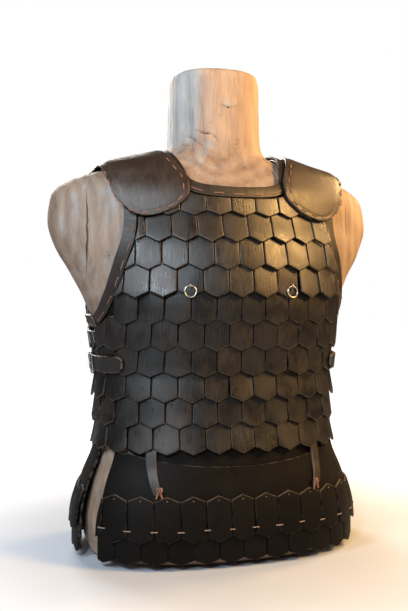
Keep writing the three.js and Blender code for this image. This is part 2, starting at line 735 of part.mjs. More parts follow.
// A point of the skirt, which hangs straight at its foot.
function onSkirt(arc, z, lift, isBack) {
  const height = Math.max(z, SKIRT_STRAIGHT);
  const point = (isBack ? onBack : onFront)(arc, height, lift);
  point.z += z - height;
  return point;
}

function skirtPanel(isBack) {
  const rows = SKIRT_PANEL_HEIGHTS.length;
  return wall(SKIRT_ACROSS, rows, (i, j) => {
    const [low, high] = skirtEdges(SKIRT_TOP_CENTRE, isBack);
    const rough = THREE.MathUtils.lerp(low, high, i / SKIRT_ACROSS);
    const sag = SKIRT_TOP_CENTRE + SKIRT_TOP_RISE * (rough / SKIRT_TOP_REACH) ** 2;
    const z = j < rows ? SKIRT_PANEL_HEIGHTS[j] : Math.min(SKIRT_TOP_MOST, sag);
    const [start, end] = skirtEdges(Math.max(z, SKIRT_STRAIGHT), isBack);
    const arc = THREE.MathUtils.lerp(start, end, i / SKIRT_ACROSS);
    const lift = skirtLift(arc, Math.max(z, SKIRT_STRAIGHT), isBack);
    return [onSkirt(arc, z, lift, isBack), onSkirt(arc, z, lift + SKIRT_PANEL_THICK, isBack)];
  });
}

function skirtPlates(isBack, size) {
  const { offset, levels } = size;
  const highest = size.top + size.peak;
  const peakAt = (arc) => size.peak * (1 - fromMiddle(arc, offset, size.width));
  return plateRow({
    on: (arc, z, lift) => onSkirt(arc, z, lift, isBack),
    offset,
    edges: (z) => {
      const [low, high] = skirtEdges(Math.max(z, SKIRT_STRAIGHT), isBack);
      return [low + SEAM, high - SEAM];
    },
    top: (arc) => size.top + peakAt(arc),
    tip: size.tip,
    point: size.point,
    width: size.width,
    thick: PLATE_THICK,
    levels,
    lift: (arc, z) => {
      const share = (highest - z) / (highest - size.tip);
      const off = THREE.MathUtils.lerp(size.topLift, size.tipLift, share);
      return skirtLift(arc, Math.max(z, SKIRT_STRAIGHT), isBack) + SKIRT_PANEL_THICK + off;
    },
  });
}

function hanger(isBack, side) {
  const on = isBack ? onBack : onFront;
  return wall(1, HANGER_PATH.length - 1, (i, j) => {
    const { z, lift } = HANGER_PATH[j];
    const arc = side * HANGER_ARC + (i - 0.5) * HANGER_WIDTH;
    return [on(arc, z, lift), on(arc, z, lift + HANGER_THICK)];
  });
}

function waistStrap(side, { from, to }) {
  const { low, high, thick, lift, steps } = WAIST_STRAP;
  return wall(steps, 1, (i, j) => {
    const arc = side * THREE.MathUtils.lerp(from, to, i / steps);
    const z = j ? high : low;
    return [onFront(arc, z, lift), onFront(arc, z, lift + thick)];
  });
}

// Places a mesh on the front map: its X runs level along the leather, its Y up and its Z out.
function seat(mesh, arc, z, lift) {
  const point = onFront(arc, z, 0);
  const out = outward(point);
  const level = new THREE.Vector3(-out.y, out.x, 0).normalize();
  const up = new THREE.Vector3().crossVectors(out, level);
  mesh.quaternion.setFromRotationMatrix(new THREE.Matrix4().makeBasis(level, up, out));
  mesh.position.copy(liftOff(point, lift));
}

function buckleFrame() {
  const { wide, tall, bar, thick } = BUCKLE;
  const frame = new THREE.Shape();
  frame.moveTo(-wide / 2, -tall / 2);
  frame.lineTo(wide / 2, -tall / 2);
  frame.lineTo(wide / 2, tall / 2);
  frame.lineTo(-wide / 2, tall / 2);
  const opening = new THREE.Path();
  opening.moveTo(-wide / 2 + bar, -tall / 2 + bar);
  opening.lineTo(-wide / 2 + bar, tall / 2 - bar);
  opening.lineTo(wide / 2 - bar, tall / 2 - bar);
  opening.lineTo(wide / 2 - bar, -tall / 2 + bar);
  frame.holes.push(opening);
  return new THREE.ExtrudeGeometry(frame, { depth: thick, bevelEnabled: false });
}

function prong() {
  const { radius, length, sides } = PRONG;
  return new THREE.CylinderGeometry(radius, radius, length, sides).rotateZ(Math.PI / 2);
}

// The ring, hanging from the origin along its scale.
function ring() {
  const torus = new THREE.TorusGeometry(RING_MEAN_RADIUS, RING_WIRE, WIRE_SIDES, RING_SEGMENTS);
  return torus.rotateZ(Math.PI / 2).translate(0, -RING_MEAN_RADIUS, 0).rotateX(-RING_LEAN);
}

// A wire arch round the ring's wire, with its two legs towards the scale.
function staple() {
  const corners = [new THREE.Vector3(0, -STAPLE_HALF, -STAPLE_LEG)];
  for (let n = 0; n <= STAPLE_BENDS; n += 1) {
    const angle = (Math.PI * n) / STAPLE_BENDS;
    const y = -STAPLE_HALF * Math.cos(angle);
    corners.push(new THREE.Vector3(0, y, STAPLE_HALF * Math.sin(angle)));
  }
  corners.push(new THREE.Vector3(0, STAPLE_HALF, -STAPLE_LEG));
  const path = new THREE.CatmullRomCurve3(corners);
  const section = new THREE.Shape();
  for (let n = 0; n < WIRE_SIDES; n += 1) {
    const angle = (2 * Math.PI * n) / WIRE_SIDES;
    const place = [STAPLE_WIRE * Math.cos(angle), STAPLE_WIRE * Math.sin(angle)];
    if (n === 0) section.moveTo(...place);
    else section.lineTo(...place);
  }
  return new THREE.ExtrudeGeometry(section, { steps: STAPLE_STEPS, extrudePath: path });
}

add('torso_form', torsoForm(), 'wood');
for (const [isBack, where] of [[false, 'front'], [true, 'back']]) {
  add(`${where}_base`, basePanel(isBack), 'leather');
  add(`neck_band_${where}`, neckBand(isBack), 'leather');
  for (let number = isBack ? 0 : 1; number <= FULL_ROWS; number += 1) {
    const label = String(isBack ? number + 1 : number).padStart(2, '0');
    add(`${where}_row_${label}`, scaleRow(isBack, number), 'leather');
  }
  add(`skirt_panel_${where}`, skirtPanel(isBack), 'leather');
  add(`skirt_short_plates_${where}`, skirtPlates(isBack, SHORT_PLATES), 'leather');
  add(`skirt_long_plates_${where}`, skirtPlates(isBack, LONG_PLATES), 'leather');
}
for (const [side, name] of [[-1, 'right'], [1, 'left']]) {
  add(`shoulder_strap_${name}`, shoulderStrap(side), 'leather');
  add(`shoulder_pad_${name}`, shoulderPad(side), 'padLeather');
  for (const [isBack, where] of [[false, 'front'], [true, 'back']]) {
    add(`armhole_band_${where}_${name}`, armholeBand(isBack, side), 'leather');
    add(`hanger_${where}_${name}`, hanger(isBack, side), 'leather');
  }
  add(`waist_strap_front_${name}`, waistStrap(side, WAIST_STRAP_FRONT), 'leather');
  add(`waist_strap_back_${name}`, waistStrap(side, WAIST_STRAP_BACK), 'leather');
  const { arc, height, lift } = BUCKLE;
  seat(add(`buckle_frame_${name}`, buckleFrame(), 'steel'), side * arc, height, lift);
  seat(add(`buckle_prong_${name}`, prong(), 'steel'), side * arc, height, PRONG.lift);
  seat(add(`ring_${name}`, ring(), 'steel'), side * RING_ARC, RING_TOP_HEIGHT, RING_LIFT);
  seat(add(`ring_staple_${name}`, staple(), 'steel'), side * RING_ARC, RING_TOP_HEIGHT, RING_LIFT);
}

export default cuirass;
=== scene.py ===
# A scale cuirass on the wooden torso form that it rests on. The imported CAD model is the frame,
# and each of its nodes is replaced by a finer piece on the same surface. Sizes here are in
# millimetres, in the CAD's frame, and are turned into metres where a mesh is made.
import math

import bpy
import numpy as np
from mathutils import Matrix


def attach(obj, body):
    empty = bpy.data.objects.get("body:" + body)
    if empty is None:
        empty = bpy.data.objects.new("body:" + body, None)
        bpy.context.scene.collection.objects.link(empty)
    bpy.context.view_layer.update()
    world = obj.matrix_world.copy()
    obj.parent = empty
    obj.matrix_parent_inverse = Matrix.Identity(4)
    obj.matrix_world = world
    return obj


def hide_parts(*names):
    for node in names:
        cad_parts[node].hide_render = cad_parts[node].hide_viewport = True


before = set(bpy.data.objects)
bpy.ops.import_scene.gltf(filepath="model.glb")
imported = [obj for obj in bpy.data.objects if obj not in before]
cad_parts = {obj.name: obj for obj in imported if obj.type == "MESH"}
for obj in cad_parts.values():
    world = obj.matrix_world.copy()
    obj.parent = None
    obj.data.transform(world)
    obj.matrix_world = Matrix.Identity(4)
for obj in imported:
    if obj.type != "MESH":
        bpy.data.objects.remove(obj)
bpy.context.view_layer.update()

MM = 0.001

# The wood's level sections: height, half width, front depth, back depth and power.
FORM = np.array([
    (0, 172, 109, 105, 2.3), (4, 180, 116, 111, 2.3), (12, 185, 120, 115, 2.3),
    (28, 189, 122, 118, 2.3), (50, 190, 122, 118, 2.3), (100, 181, 118, 112, 2.3),
    (150, 166, 110, 104, 2.3), (200, 163, 106, 98, 2.3), (243, 163, 106, 97, 2.3),
    (300, 170, 114, 104, 2.3), (325, 177, 118, 107, 2.2), (350, 187, 122, 110, 2.1),
    (388, 207, 123.5, 112.5, 1.9), (425, 229, 121, 112, 1.75), (462, 241, 113, 108, 1.65),
    (497, 236, 106.5, 99, 1.65), (514, 221, 96.5, 90, 1.7), (524, 201, 89, 84.5, 1.8),
    (530, 182, 84, 81, 1.85), (537, 150, 78.5, 75, 1.95), (546, 115, 73, 69.5, 2.0),
    (555, 84, 69, 67, 2.0), (565, 71, 66.8, 66, 2.0), (580, 67, 66, 65.5, 2.0),
    (660, 64.3, 64, 64, 2.0), (674, 62, 62, 62, 2.0), (678, 57, 57, 57, 2.0),
])
FORM_TOP = 678
FORM_REACH = 320
LINE_SOFTNESS = 10
GRADIENT_STEP = 0.05
BISECTIONS = 34

BASE_GAP = 1.3
BASE_THICK = 2.0
BASE_OUTER = BASE_GAP + BASE_THICK
SEAM = 0.3
LAY = 1.1

SCALE_WIDTH = 33.4
SCALE_DRIFT = [(147, 4.5), (252, 2), (321, -1), (391, -4.8), (461, -12)]
SCALE_POINT = 8
SCALE_LENGTH = 46
SCALE_THICK = 2.6
SCALE_TOP_LIFT = 1.5
SCALE_TIP_LIFT = 6.8
ROW_STEP = 34.9
FIRST_TIP = 461
FULL_ROWS = 10
ROW_SEAM = 4 * SEAM
LEAST_PLATE = 4
# Scales of rows 1 to 4 take lighter tones than the rows below: painted shade, darker towards the bottom
# where less light falls.
HIGH_ROW_LIT_TONES = (0.25, 1.0)
LOW_ROW_SHADED_TONES = (0.0, 0.75)
SKIRT_TONES = (0.0, 0.35)
TIP_STAND = {
    0: 1.0, 1: 1.5, 2: 2.6, 3: 3.4, 4: 5.2, 5: -1.0, 6: -0.6, 7: 3.6, 8: 3.4, 9: 1.0, 10: 0.6,
}

HEM = {"centre": 122, "side": 156, "from": 100, "to": 170}
SHOULDER_SEAM_HEIGHT = 484
SIDE_SEAM = [(158, 205), (200, 200), (240, 200), (300, 206), (334, 212)]
ARMPIT_HEIGHT = 334
ARMHOLE = [
    (334, 212), (342, 200), (365, 184), (389, 174), (411, 166), (434, 157), (452, 153.5),
    (484, 152),
]
BACK_BAND_START = [(334, 262), (334, 240), (335.5, 222)]
NECK_COLUMN = 67.5
SHOULDER_COLUMN = 70.5
SEAM_END_COLUMN = 152
PANEL_UNDER_BINDING = 4
BAND_WIDTH = 17
BAND_THICK = 2.2
BAND_CLEARANCE = 3
NECK_LAY = 2
ROW_UNDER_BAND = {"from": 176, "to": 203, "front": 315.5, "back": 312}
ROW_UNDER_PAD = {"from": 84, "to": 98}
ROW_BINDING_REACH = 6
YOKE_MARGIN = 4
ARMPIT_STEP = 8
ARMPIT_MARGIN = 20

# The neck binding by polar angle from the front: its lower and upper edge.
NECKLINE = [
    (0, 488, 501), (20, 489.5, 503), (33, 496, 510), (40, 512, 527), (48, 530, 542),
    (60, 545, 553), (75, 552, 558.5), (90, 554.5, 560.5), (120, 550, 556.5),
    (150, 536, 547), (180, 530, 543),
]
NECK_HEIGHT = {"front": 501, "back": 538}

SHOULDER_PIVOT_HEIGHT = 440
STRAP_RIDGE = (80, 166)
STRAP_END = (71, 145)
STRAP_GAP = 1.9
# The pad's inner and outer edge, by share of the tilt from the ridge to a lobe's end.
PAD_LOBE = [
    (0, 97, 178), (0.3, 89, 174), (0.55, 76, 167), (0.7, 66.5, 160), (0.8, 66, 153),
    (0.89, 77, 144), (0.955, 92, 135), (0.985, 104, 128), (1, 114, 121),
]
PAD_LIFT = [(0, 5.8), (0.12, 7.4), (0.25, 9.6), (0.6, 10.4), (1, 13.8)]
PAD_END_TILT = 78
PAD_THICK = 3

SKIRT_FLARE = [(50, 9.5), (60, 9.5), (85, 9), (97, 8.2), (116, 6.4), (131, 5.2), (150, 4.8)]
FLARE_LEAST = 4.8
FLARE_CENTRE_SHARE = 0.45
FLARE_TURN = (20, 65)
SKIRT_PANEL_THICK = 2.2
SKIRT_PANEL_FOOT = 14
SKIRT_STRAIGHT = 50
SKIRT_TOP = {"centre": 130, "rise": 14, "reach": 133, "most": 147}
SKIRT_FRONT_EDGES = (-69, 95)
SKIRT_BACK_EDGES = (-99, 83)
LONG_PLATES = {
    "top": 88, "peak": 7, "tip": 37, "point": 8, "width": 32.6, "offset": 0,
    "top_lift": 0.9, "tip_lift": 5.4,
}
SHORT_PLATES = {
    "top": 50, "peak": 0, "tip": 8, "point": 6, "width": 32.6, "offset": 16.3,
    "top_lift": 0.6, "tip_lift": 0.9,
}
PLATE_THICK = 2.4

HANGER_ARC = 114
HANGER_WIDTH = 14
HANGER_THICK = 2.2
HANGER_PATH = [
    (96.5, 12.9), (104, 12.2), (115, 10.8), (128, 8.8), (140, 8.2), (149, 7.3), (157, 5.4),
    (166, 4.7),
]

WAIST_STRAP = {"low": 256, "high": 279, "thick": 2.2, "lift": 13.3}
STRAP_END_ROUND = 9
# Creases across the front waist straps: how far along, slant, half width and depth.
STRAP_CREASES = [(21, 5, 1.6, 1.3), (36, -6, 2.1, 0.7), (47, 3, 1.3, 0.6)]
WAIST_STRAP_SPANS = {"front": (150, 213), "back": (213.5, 252)}
BUCKLE = {"arc": 214, "height": 267.5, "tall": 31, "wide": 18, "bar": 3, "thick": 2.6, "lift": 16}
PRONG = {"radius": 1.2, "length": 17, "lift": 20.2}

RING = {"arc": 69.3, "top": 371, "radius": 7.5, "wire": 1, "lift": 12.5, "lean": 0.12}
STAPLE = {"wire": 0.8, "half": 2.6, "leg": 1.3}


# Surface maps

def smooth_table(rows, column=1):
    """A smooth curve through a table's rows that never overshoots them."""
    table = np.array(rows, float)
    xs, ys = table[:, 0], table[:, column]
    steps = np.diff(ys) / np.diff(xs)
    slopes = np.empty(len(xs))
    slopes[0], slopes[-1] = steps[0], steps[-1]
    before, after = xs[1:-1] - xs[:-2], xs[2:] - xs[1:-1]
    mean = (steps[:-1] * after + steps[1:] * before) / (before + after)
    least = np.minimum(np.minimum(abs(steps[:-1]), abs(steps[1:])), abs(mean) / 2)
    slopes[1:-1] = (np.sign(steps[:-1]) + np.sign(steps[1:])) * least

    def at(x):
        x = np.clip(np.asarray(x, float), xs[0], xs[-1])
        i = np.clip(np.searchsorted(xs, x, side="right") - 1, 0, len(xs) - 2)
        span = xs[i + 1] - xs[i]
        t = (x - xs[i]) / span
        rise = (1 + 2 * t) * (1 - t) ** 2 * ys[i] + t * t * (3 - 2 * t) * ys[i + 1]
        turn = t * (1 - t) ** 2 * slopes[i] + t * t * (t - 1) * slopes[i + 1]
        return rise + turn * span

    return at


form_half, form_front, form_back, form_power = (smooth_table(FORM, n) for n in (1, 2, 3, 4))


def soften(t):
    return np.sqrt(t * t + LINE_SOFTNESS ** 2) - LINE_SOFTNESS


def form_level(x, y, z):
    """Below 0 inside the wood, 0 on its surface and above 0 outside it."""
    depth = np.where(y < 0, form_front(z), form_back(z))
    power = form_power(z)
    across = (soften(x) / soften(form_half(z))) ** power
    return across + (soften(y) / soften(depth)) ** power - 1


def outward(points):
    h = GRADIENT_STEP
    x, y, z = points[..., 0], points[..., 1], points[..., 2]
    slope = np.stack([
        form_level(x + h, y, z) - form_level(x - h, y, z),
        form_level(x, y + h, z) - form_level(x, y - h, z),
        form_level(x, y, z + h) - form_level(x, y, z - h),
    ], -1)
    return slope / np.linalg.norm(slope, axis=-1, keepdims=True)


def lifted(points, lift):
    return points + outward(points) * np.asarray(lift)[..., None]


def polar(degrees, z):
    """The wood's point at a height and a polar angle from the front towards the left side."""
    angle = np.radians(degrees)
    sin, cos, z = np.broadcast_arrays(np.sin(angle), np.cos(angle), np.asarray(z, float))
    half = soften(form_half(z))
    depth = soften(np.where(cos > 0, form_front(z), form_back(z)))
    power = form_power(z)
    low, high = np.ones(z.shape), np.full(z.shape, float(FORM_REACH))
    for _ in range(BISECTIONS):
        r = (low + high) / 2
        inside = (soften(r * sin) / half) ** power + (soften(r * cos) / depth) ** power < 1
        low, high = np.where(inside, r, low), np.where(inside, high, r)
    return np.stack([r * sin, -r * cos, z], -1)


# Arc lengths round half a section for each millimetre of height and each degree, and back.
HEIGHTS = np.arange(0, FORM_TOP + 1.0)
DEGREES = np.arange(0, 181.0)
SHARES = np.linspace(0, 1, 361)
section_points = polar(DEGREES[None, :], HEIGHTS[:, None])
section_steps = np.linalg.norm(np.diff(section_points, axis=1), axis=2)
ARCS = np.concatenate([np.zeros((len(HEIGHTS), 1)), np.cumsum(section_steps, axis=1)], axis=1)
ANGLES = np.array([np.interp(SHARES * arcs[-1], arcs, DEGREES) for arcs in ARCS])


def bilinear(table, row, column):
    row = np.clip(row, 0, table.shape[0] - 1.001)
    column = np.clip(column, 0, table.shape[1] - 1.001)
    i, j = np.floor(row).astype(int), np.floor(column).astype(int)
    u, v = row - i, column - j
    near = table[i, j] * (1 - v) + table[i, j + 1] * v
    far = table[i + 1, j] * (1 - v) + table[i + 1, j + 1] * v
    return near * (1 - u) + far * u


def half_girth(z):
    return np.interp(z, HEIGHTS, ARCS[:, -1])


def arc_at_angle(degrees, z):
    z, degrees = np.broadcast_arrays(np.asarray(z, float), np.asarray(degrees, float))
    return bilinear(ARCS, z, degrees)


def angle_at_arc(arc, z):
    arc, z = np.broadcast_arrays(np.asarray(arc, float), np.asarray(z, float))
    return bilinear(ANGLES, z, arc / half_girth(z) * (len(SHARES) - 1))


def on_front(arc, z, lift):
    """By arc length from the front centre line, left side positive, lifted off the wood."""
    arc, z, lift = np.broadcast_arrays(*(np.asarray(v, float) for v in (arc, z, lift)))
    points = polar(angle_at_arc(abs(arc), z), z)
    points[..., 0] *= np.where(arc < 0, -1, 1)
    return lifted(points, lift)


def on_back(arc, z, lift):
    arc = np.asarray(arc, float)
    from_front = half_girth(z) - abs(arc)
    return on_front(np.where(arc < 0, -from_front, from_front), z, lift)


def on_shoulder(x, tilt, lift):
    x, tilt, lift = np.broadcast_arrays(*(np.asarray(v, float) for v in (x, tilt, lift)))
    sin, cos = np.sin(np.radians(tilt)), np.cos(np.radians(tilt))
    low, high = np.ones(x.shape), np.full(x.shape, float(FORM_REACH))
    for _ in range(BISECTIONS):
        r = (low + high) / 2
        inside = form_level(x, -r * sin, SHOULDER_PIVOT_HEIGHT + r * cos) < 0
        low, high = np.where(inside, r, low), np.where(inside, high, r)
    return lifted(np.stack([x, -r * sin, SHOULDER_PIVOT_HEIGHT + r * cos], -1), lift)


def lerp(a, b, t):
    return a + (b - a) * t


def smoothstep(x, low, high):
    t = np.clip((x - low) / (high - low), 0, 1)
    return t * t * (3 - 2 * t)


# Mesh building. A part is a closed body: points, faces, and three values for each point that
# the materials read: the distance to its rim, its tone, and where it is in the leather's cut.

def part(points, faces, edge=None, tone=0.5, place=None):
    points = np.asarray(points, float).reshape(-1, 3)
    count = len(points)
    return {
        "points": points,
        "faces": faces,
        "edge": np.full(count, 9.0) if edge is None else np.asarray(edge, float).ravel(),
        "tone": np.broadcast_to(np.asarray(tone, float), count) if np.ndim(tone) == 0
        else np.asarray(tone, float).ravel(),
        "place": points if place is None else np.asarray(place, float).reshape(-1, 3),
    }


def grid_faces(rows, columns, start=0, close=False):
    i, j = np.meshgrid(np.arange(rows if close else rows - 1), np.arange(columns - 1), indexing="ij")
    a = start + i * columns + j
    b = start + ((i + 1) % rows) * columns + j
    return np.stack([a, b, b + 1, a + 1], -1).reshape(-1, 4).tolist()


def slab(outer, inner, edge, tone, place):
    """A closed body between two grids of points that share a rim."""
    rows, columns = outer.shape[:2]
    count = rows * columns
    faces = grid_faces(rows, columns)
    faces += [[a + count, d + count, c + count, b + count] for a, b, c, d in faces]
    index = np.arange(count).reshape(rows, columns)
    rim = np.concatenate([index[:-1, 0], index[-1, :-1], index[:0:-1, -1], index[0, :0:-1]])
    following = np.roll(rim, -1)
    faces += np.stack([rim, rim + count, following + count, following], -1).tolist()
    points = np.concatenate([outer.reshape(-1, 3), inner.reshape(-1, 3)])
    both = np.concatenate([np.ravel(edge), np.zeros(count)])
    return part(points, faces, both, tone, np.concatenate([place.reshape(-1, 3)] * 2))


def tube(centres, widths, normals, sides=8, tone=0.5, closed=False):
    """A closed sweep with an oval section: widths are half width across and half height."""
    centres, normals = np.asarray(centres, float), np.asarray(normals, float)
    if closed:
        along = np.roll(centres, -1, axis=0) - np.roll(centres, 1, axis=0)
    else:
        along = np.gradient(centres, axis=0)
    along /= np.linalg.norm(along, axis=1, keepdims=True)
    across = np.cross(along, normals)
    across /= np.linalg.norm(across, axis=1, keepdims=True)
    up = np.cross(across, along)
    widths = np.broadcast_to(np.asarray(widths, float), (len(centres), 2))
    turn = 2 * np.pi * np.arange(sides) / sides
    ring = across[:, None] * (widths[:, :1] * np.cos(turn))[..., None]
    ring = ring + up[:, None] * (widths[:, 1:] * np.sin(turn))[..., None]
    points = centres[:, None] + ring
    rows = len(centres)
    i, j = np.meshgrid(np.arange(rows if closed else rows - 1), np.arange(sides), indexing="ij")
    a, b = i * sides + j, ((i + 1) % rows) * sides + j
    c, d = ((i + 1) % rows) * sides + (j + 1) % sides, i * sides + (j + 1) % sides
    faces = np.stack([a, b, c, d], -1).reshape(-1, 4).tolist()
    length = np.concatenate([[0], np.cumsum(np.linalg.norm(np.diff(centres, axis=0), axis=1))])
    place = np.stack(np.broadcast_arrays(length[:, None], turn[None, :], tone), -1)
    if not closed:
        faces += [list(range(sides - 1, -1, -1)), list(range((rows - 1) * sides, rows * sides))]
    return part(points, faces, None, tone, place)


def merged(parts):
    start, faces = 0, []
    for one in parts:
        faces += [[start + n for n in face] for face in one["faces"]]
        start += len(one["points"])
    return {
        "faces": faces,
        **{key: np.concatenate([one[key] for one in parts]) for key in ("points", "edge", "tone", "place")},
    }


def turned_out(one):
    """The part with its faces pointing out."""
    points = one["points"]
    middle = points.mean(axis=0)
    volume = 0.0
    for face in one["faces"]:
        a = points[face[0]] - middle
        for n in range(1, len(face) - 1):
            volume += a @ np.cross(points[face[n]] - middle, points[face[n + 1]] - middle)
    return one if volume > 0 else {**one, "faces": [face[::-1] for face in one["faces"]]}


def same_way(parts):
    """Parts of one kind, all turned the way that the first one needs."""
    first = turned_out(parts[0])
    if first["faces"] is parts[0]["faces"]:
        return parts
    return [{**one, "faces": [face[::-1] for face in one["faces"]]} for one in parts]


def piece(name, parts, material, nodes, body="cuirass", sharp=38):
    whole = merged(parts)
    mesh = bpy.data.meshes.new(name)
    mesh.from_pydata((whole["points"] * MM).tolist(), [], whole["faces"])
    for key, kind in (("edge", "FLOAT"), ("tone", "FLOAT"), ("place", "FLOAT_VECTOR")):
        layer = mesh.attributes.new(key, kind, "POINT")
        layer.data.foreach_set("value" if kind == "FLOAT" else "vector", whole[key].ravel())
    mesh.update()
    mesh.shade_smooth()
    mesh.set_sharp_from_angle(angle=math.radians(sharp))
    mesh.materials.append(material)
    made = bpy.data.objects.new(name, mesh)
    bpy.context.scene.collection.objects.link(made)
    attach(made, body)
    if nodes:
        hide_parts(*nodes)


# Materials

class Nodes:
    """A short way to build a material's nodes."""

    def __init__(self, name):
        self.material = bpy.data.materials.new(name)
        self.material.use_nodes = True
        self.tree = self.material.node_tree
        self.shader = self.tree.nodes["Principled BSDF"]

    def add(self, kind, inputs=(), **settings):
        node = self.tree.nodes.new("ShaderNode" + kind)
        for key, value in settings.items():
            setattr(node, key, value)
        for key, value in dict(inputs).items():
            self.put(node.inputs[key], value)
        return node

    def put(self, socket, value):
        if isinstance(value, bpy.types.NodeSocket):
            self.tree.links.new(value, socket)
        else:
            socket.default_value = value

    def attribute(self, name, output="Fac"):
        return self.add("Attribute", attribute_name=name).outputs[output]

    def mapped(self, vector, scale, shift=(0, 0, 0)):
        return self.add("Mapping", {"Vector": vector, "Scale": scale, "Location": shift}).outputs[0]

    def noise(self, vector, scale, detail=4, roughness=0.55, distortion=0.0):
        inputs = {
            "Vector": vector, "Scale": scale, "Detail": detail, "Roughness": roughness,
            "Distortion": distortion,
        }
        return self.add("TexNoise", inputs).outputs["Fac"]

    def ramp(self, value, stops):
        node = self.add("ValToRGB", {"Fac": value})
        elements = node.color_ramp.elements
        while len(elements) < len(stops):
            elements.new(0.5)
        for element, (position, colour) in zip(elements, stops):
            element.position = position
            element.color = (*colour, 1)
        return node.outputs["Color"]

    def range(self, value, low, high, to_low=0.0, to_high=1.0, smooth=True):
        inputs = {
            "Value": value, "From Min": low, "From Max": high, "To Min": to_low, "To Max": to_high,
        }
        kind = "SMOOTHSTEP" if smooth else "LINEAR"
        return self.add("MapRange", inputs, interpolation_type=kind).outputs["Result"]

    def math(self, operation, a, b=0.0):
        return self.add("Math", {0: a, 1: b}, operation=operation).outputs[0]

    def mix(self, share, a, b, blend="MIX"):
        node = self.add("Mix", data_type="RGBA", blend_type=blend)
        self.put(node.inputs[0], share)
        for socket, value in ((node.inputs[6], a), (node.inputs[7], b)):
            self.put(socket, (*value, 1) if isinstance(value, tuple) else value)
        return node.outputs[2]

    def bump(self, height, distance, strength=1.0):
        inputs = {"Height": height, "Distance": distance, "Strength": strength}
        self.put(self.shader.inputs["Normal"], self.add("Bump", inputs).outputs[0])

    def finish(self, **inputs):
        for key, value in inputs.items():
            self.put(self.shader.inputs[key.replace("_", " ")], value)
        return self.material


def leather(name, dark, mid, light, worn, fibre, rough=(0.42, 0.62), wear=1.0, sheen=0.5):
    """Waxed leather: a tone for each piece, fine fibres along it, pores and a rubbed rim. An
    edge below -1 is a cut one that shows all along."""
    n = Nodes(name)
    place = n.attribute("place", "Vector")
    tone = n.attribute("tone")
    edge = n.attribute("edge")
    blotch = n.noise(place, 0.035, 3)
    fibres = n.noise(n.mapped(place, (fibre, 0.05, 1)), 1.0, 5, 0.6)
    pores = n.noise(place, 1.1, 3, 0.6)
    shade = n.math("ADD", n.math("MULTIPLY", tone, 0.5), n.math("MULTIPLY", blotch, 0.5))
    shade = n.math("ADD", shade, n.math("MULTIPLY", n.math("SUBTRACT", fibres, 0.5), 0.35))
    colour = n.ramp(shade, [(0.25, dark), (0.55, mid), (0.85, light)])
    rubbed = n.range(edge, 0.2, 1.3, wear, 0.0)
    rubbed = n.math("MULTIPLY", rubbed, n.range(n.noise(place, 0.13, 3), 0.4, 0.66))
    rubbed = n.math("MAXIMUM", rubbed, n.range(edge, -1.4, -0.6, 1.0, 0.0))
    scuffs = n.noise(n.mapped(place, (0.5, 0.09, 1)), 1.0, 5, 0.7)
    scuffs = n.range(scuffs, 0.66, 0.8, 0.0, 0.3 * wear)
    colour = n.mix(n.math("MAXIMUM", rubbed, scuffs), colour, worn)
    height = n.math("ADD", n.math("MULTIPLY", fibres, 0.6), n.math("MULTIPLY", pores, 0.4))
    n.bump(height, 0.0005)
    worked = n.math("ADD", n.math("MULTIPLY", fibres, 0.5), n.math("MULTIPLY", blotch, 0.5))
    roughness = n.range(worked, 0.3, 0.7, *rough)
    roughness = n.math("SUBTRACT", roughness, n.math("MULTIPLY", tone, 0.1))
    return n.finish(Base_Color=colour, Roughness=roughness, Specular_IOR_Level=sheen)


dark_leather = leather(
    "dark_leather", (0.0022, 0.0018, 0.0016), (0.0085, 0.0064, 0.005), (0.03, 0.0225, 0.017),
    (0.085, 0.06, 0.044), 0.55, rough=(0.3, 0.54),
)
skirt_leather = leather(
    "skirt_leather", (0.0016, 0.0013, 0.0012), (0.0044, 0.0034, 0.0028), (0.012, 0.009, 0.007),
    (0.058, 0.045, 0.036), 0.5, rough=(0.5, 0.68), sheen=0.12,
)
strap_leather = leather(
    "strap_leather", (0.004, 0.003, 0.0025), (0.0105, 0.0078, 0.0062), (0.028, 0.021, 0.016),
    (0.12, 0.095, 0.075), 0.4, rough=(0.36, 0.52), wear=2.0,
)
binding_leather = leather(
    "binding_leather", (0.007, 0.0048, 0.0037), (0.015, 0.0105, 0.008), (0.028, 0.02, 0.015),
    (0.075, 0.05, 0.036), 0.3, rough=(0.4, 0.6), sheen=0.4,
)
pad_leather = leather(
    "pad_leather", (0.014, 0.0088, 0.0062), (0.026, 0.0165, 0.0115), (0.042, 0.028, 0.02),
    (0.1, 0.07, 0.052), 0.25, rough=(0.38, 0.56), wear=0.8,
)


def thong_material():
    n = Nodes("thong")
    place = n.attribute("place", "Vector")
    fibres = n.noise(n.mapped(place, (0.25, 1.4, 1)), 1.0, 4)
    colour = n.ramp(fibres, [
        (0.3, (0.07, 0.026, 0.013)), (0.55, (0.17, 0.068, 0.034)), (0.8, (0.28, 0.14, 0.08)),
    ])
    pale = n.ramp(fibres, [(0.3, (0.12, 0.08, 0.06)), (0.7, (0.3, 0.22, 0.17))])
    colour = n.mix(n.attribute("tone"), colour, pale)
    n.bump(fibres, 0.0004)
    return n.finish(Base_Color=colour, Roughness=n.range(fibres, 0.3, 0.7, 0.45, 0.7))


def steel_material(name, dark, light):
    n = Nodes(name)
    place = n.attribute("place", "Vector")
    brushed = n.noise(n.mapped(place, (1.2, 0.3, 1)), 1.0, 5, 0.7)
    colour = n.ramp(brushed, [(0.3, dark), (0.7, light)])
    n.bump(brushed, 0.0001)
    n.shader.inputs["Metallic"].default_value = 1.0
    return n.finish(Base_Color=colour, Roughness=n.range(brushed, 0.3, 0.7, 0.25, 0.45))


# Long drying splits in the arm stubs: how far aside, from and to which height.
SPLITS = [(-194.5, 372, 516), (184, 430, 520)]
SPLIT_TAPER = 60


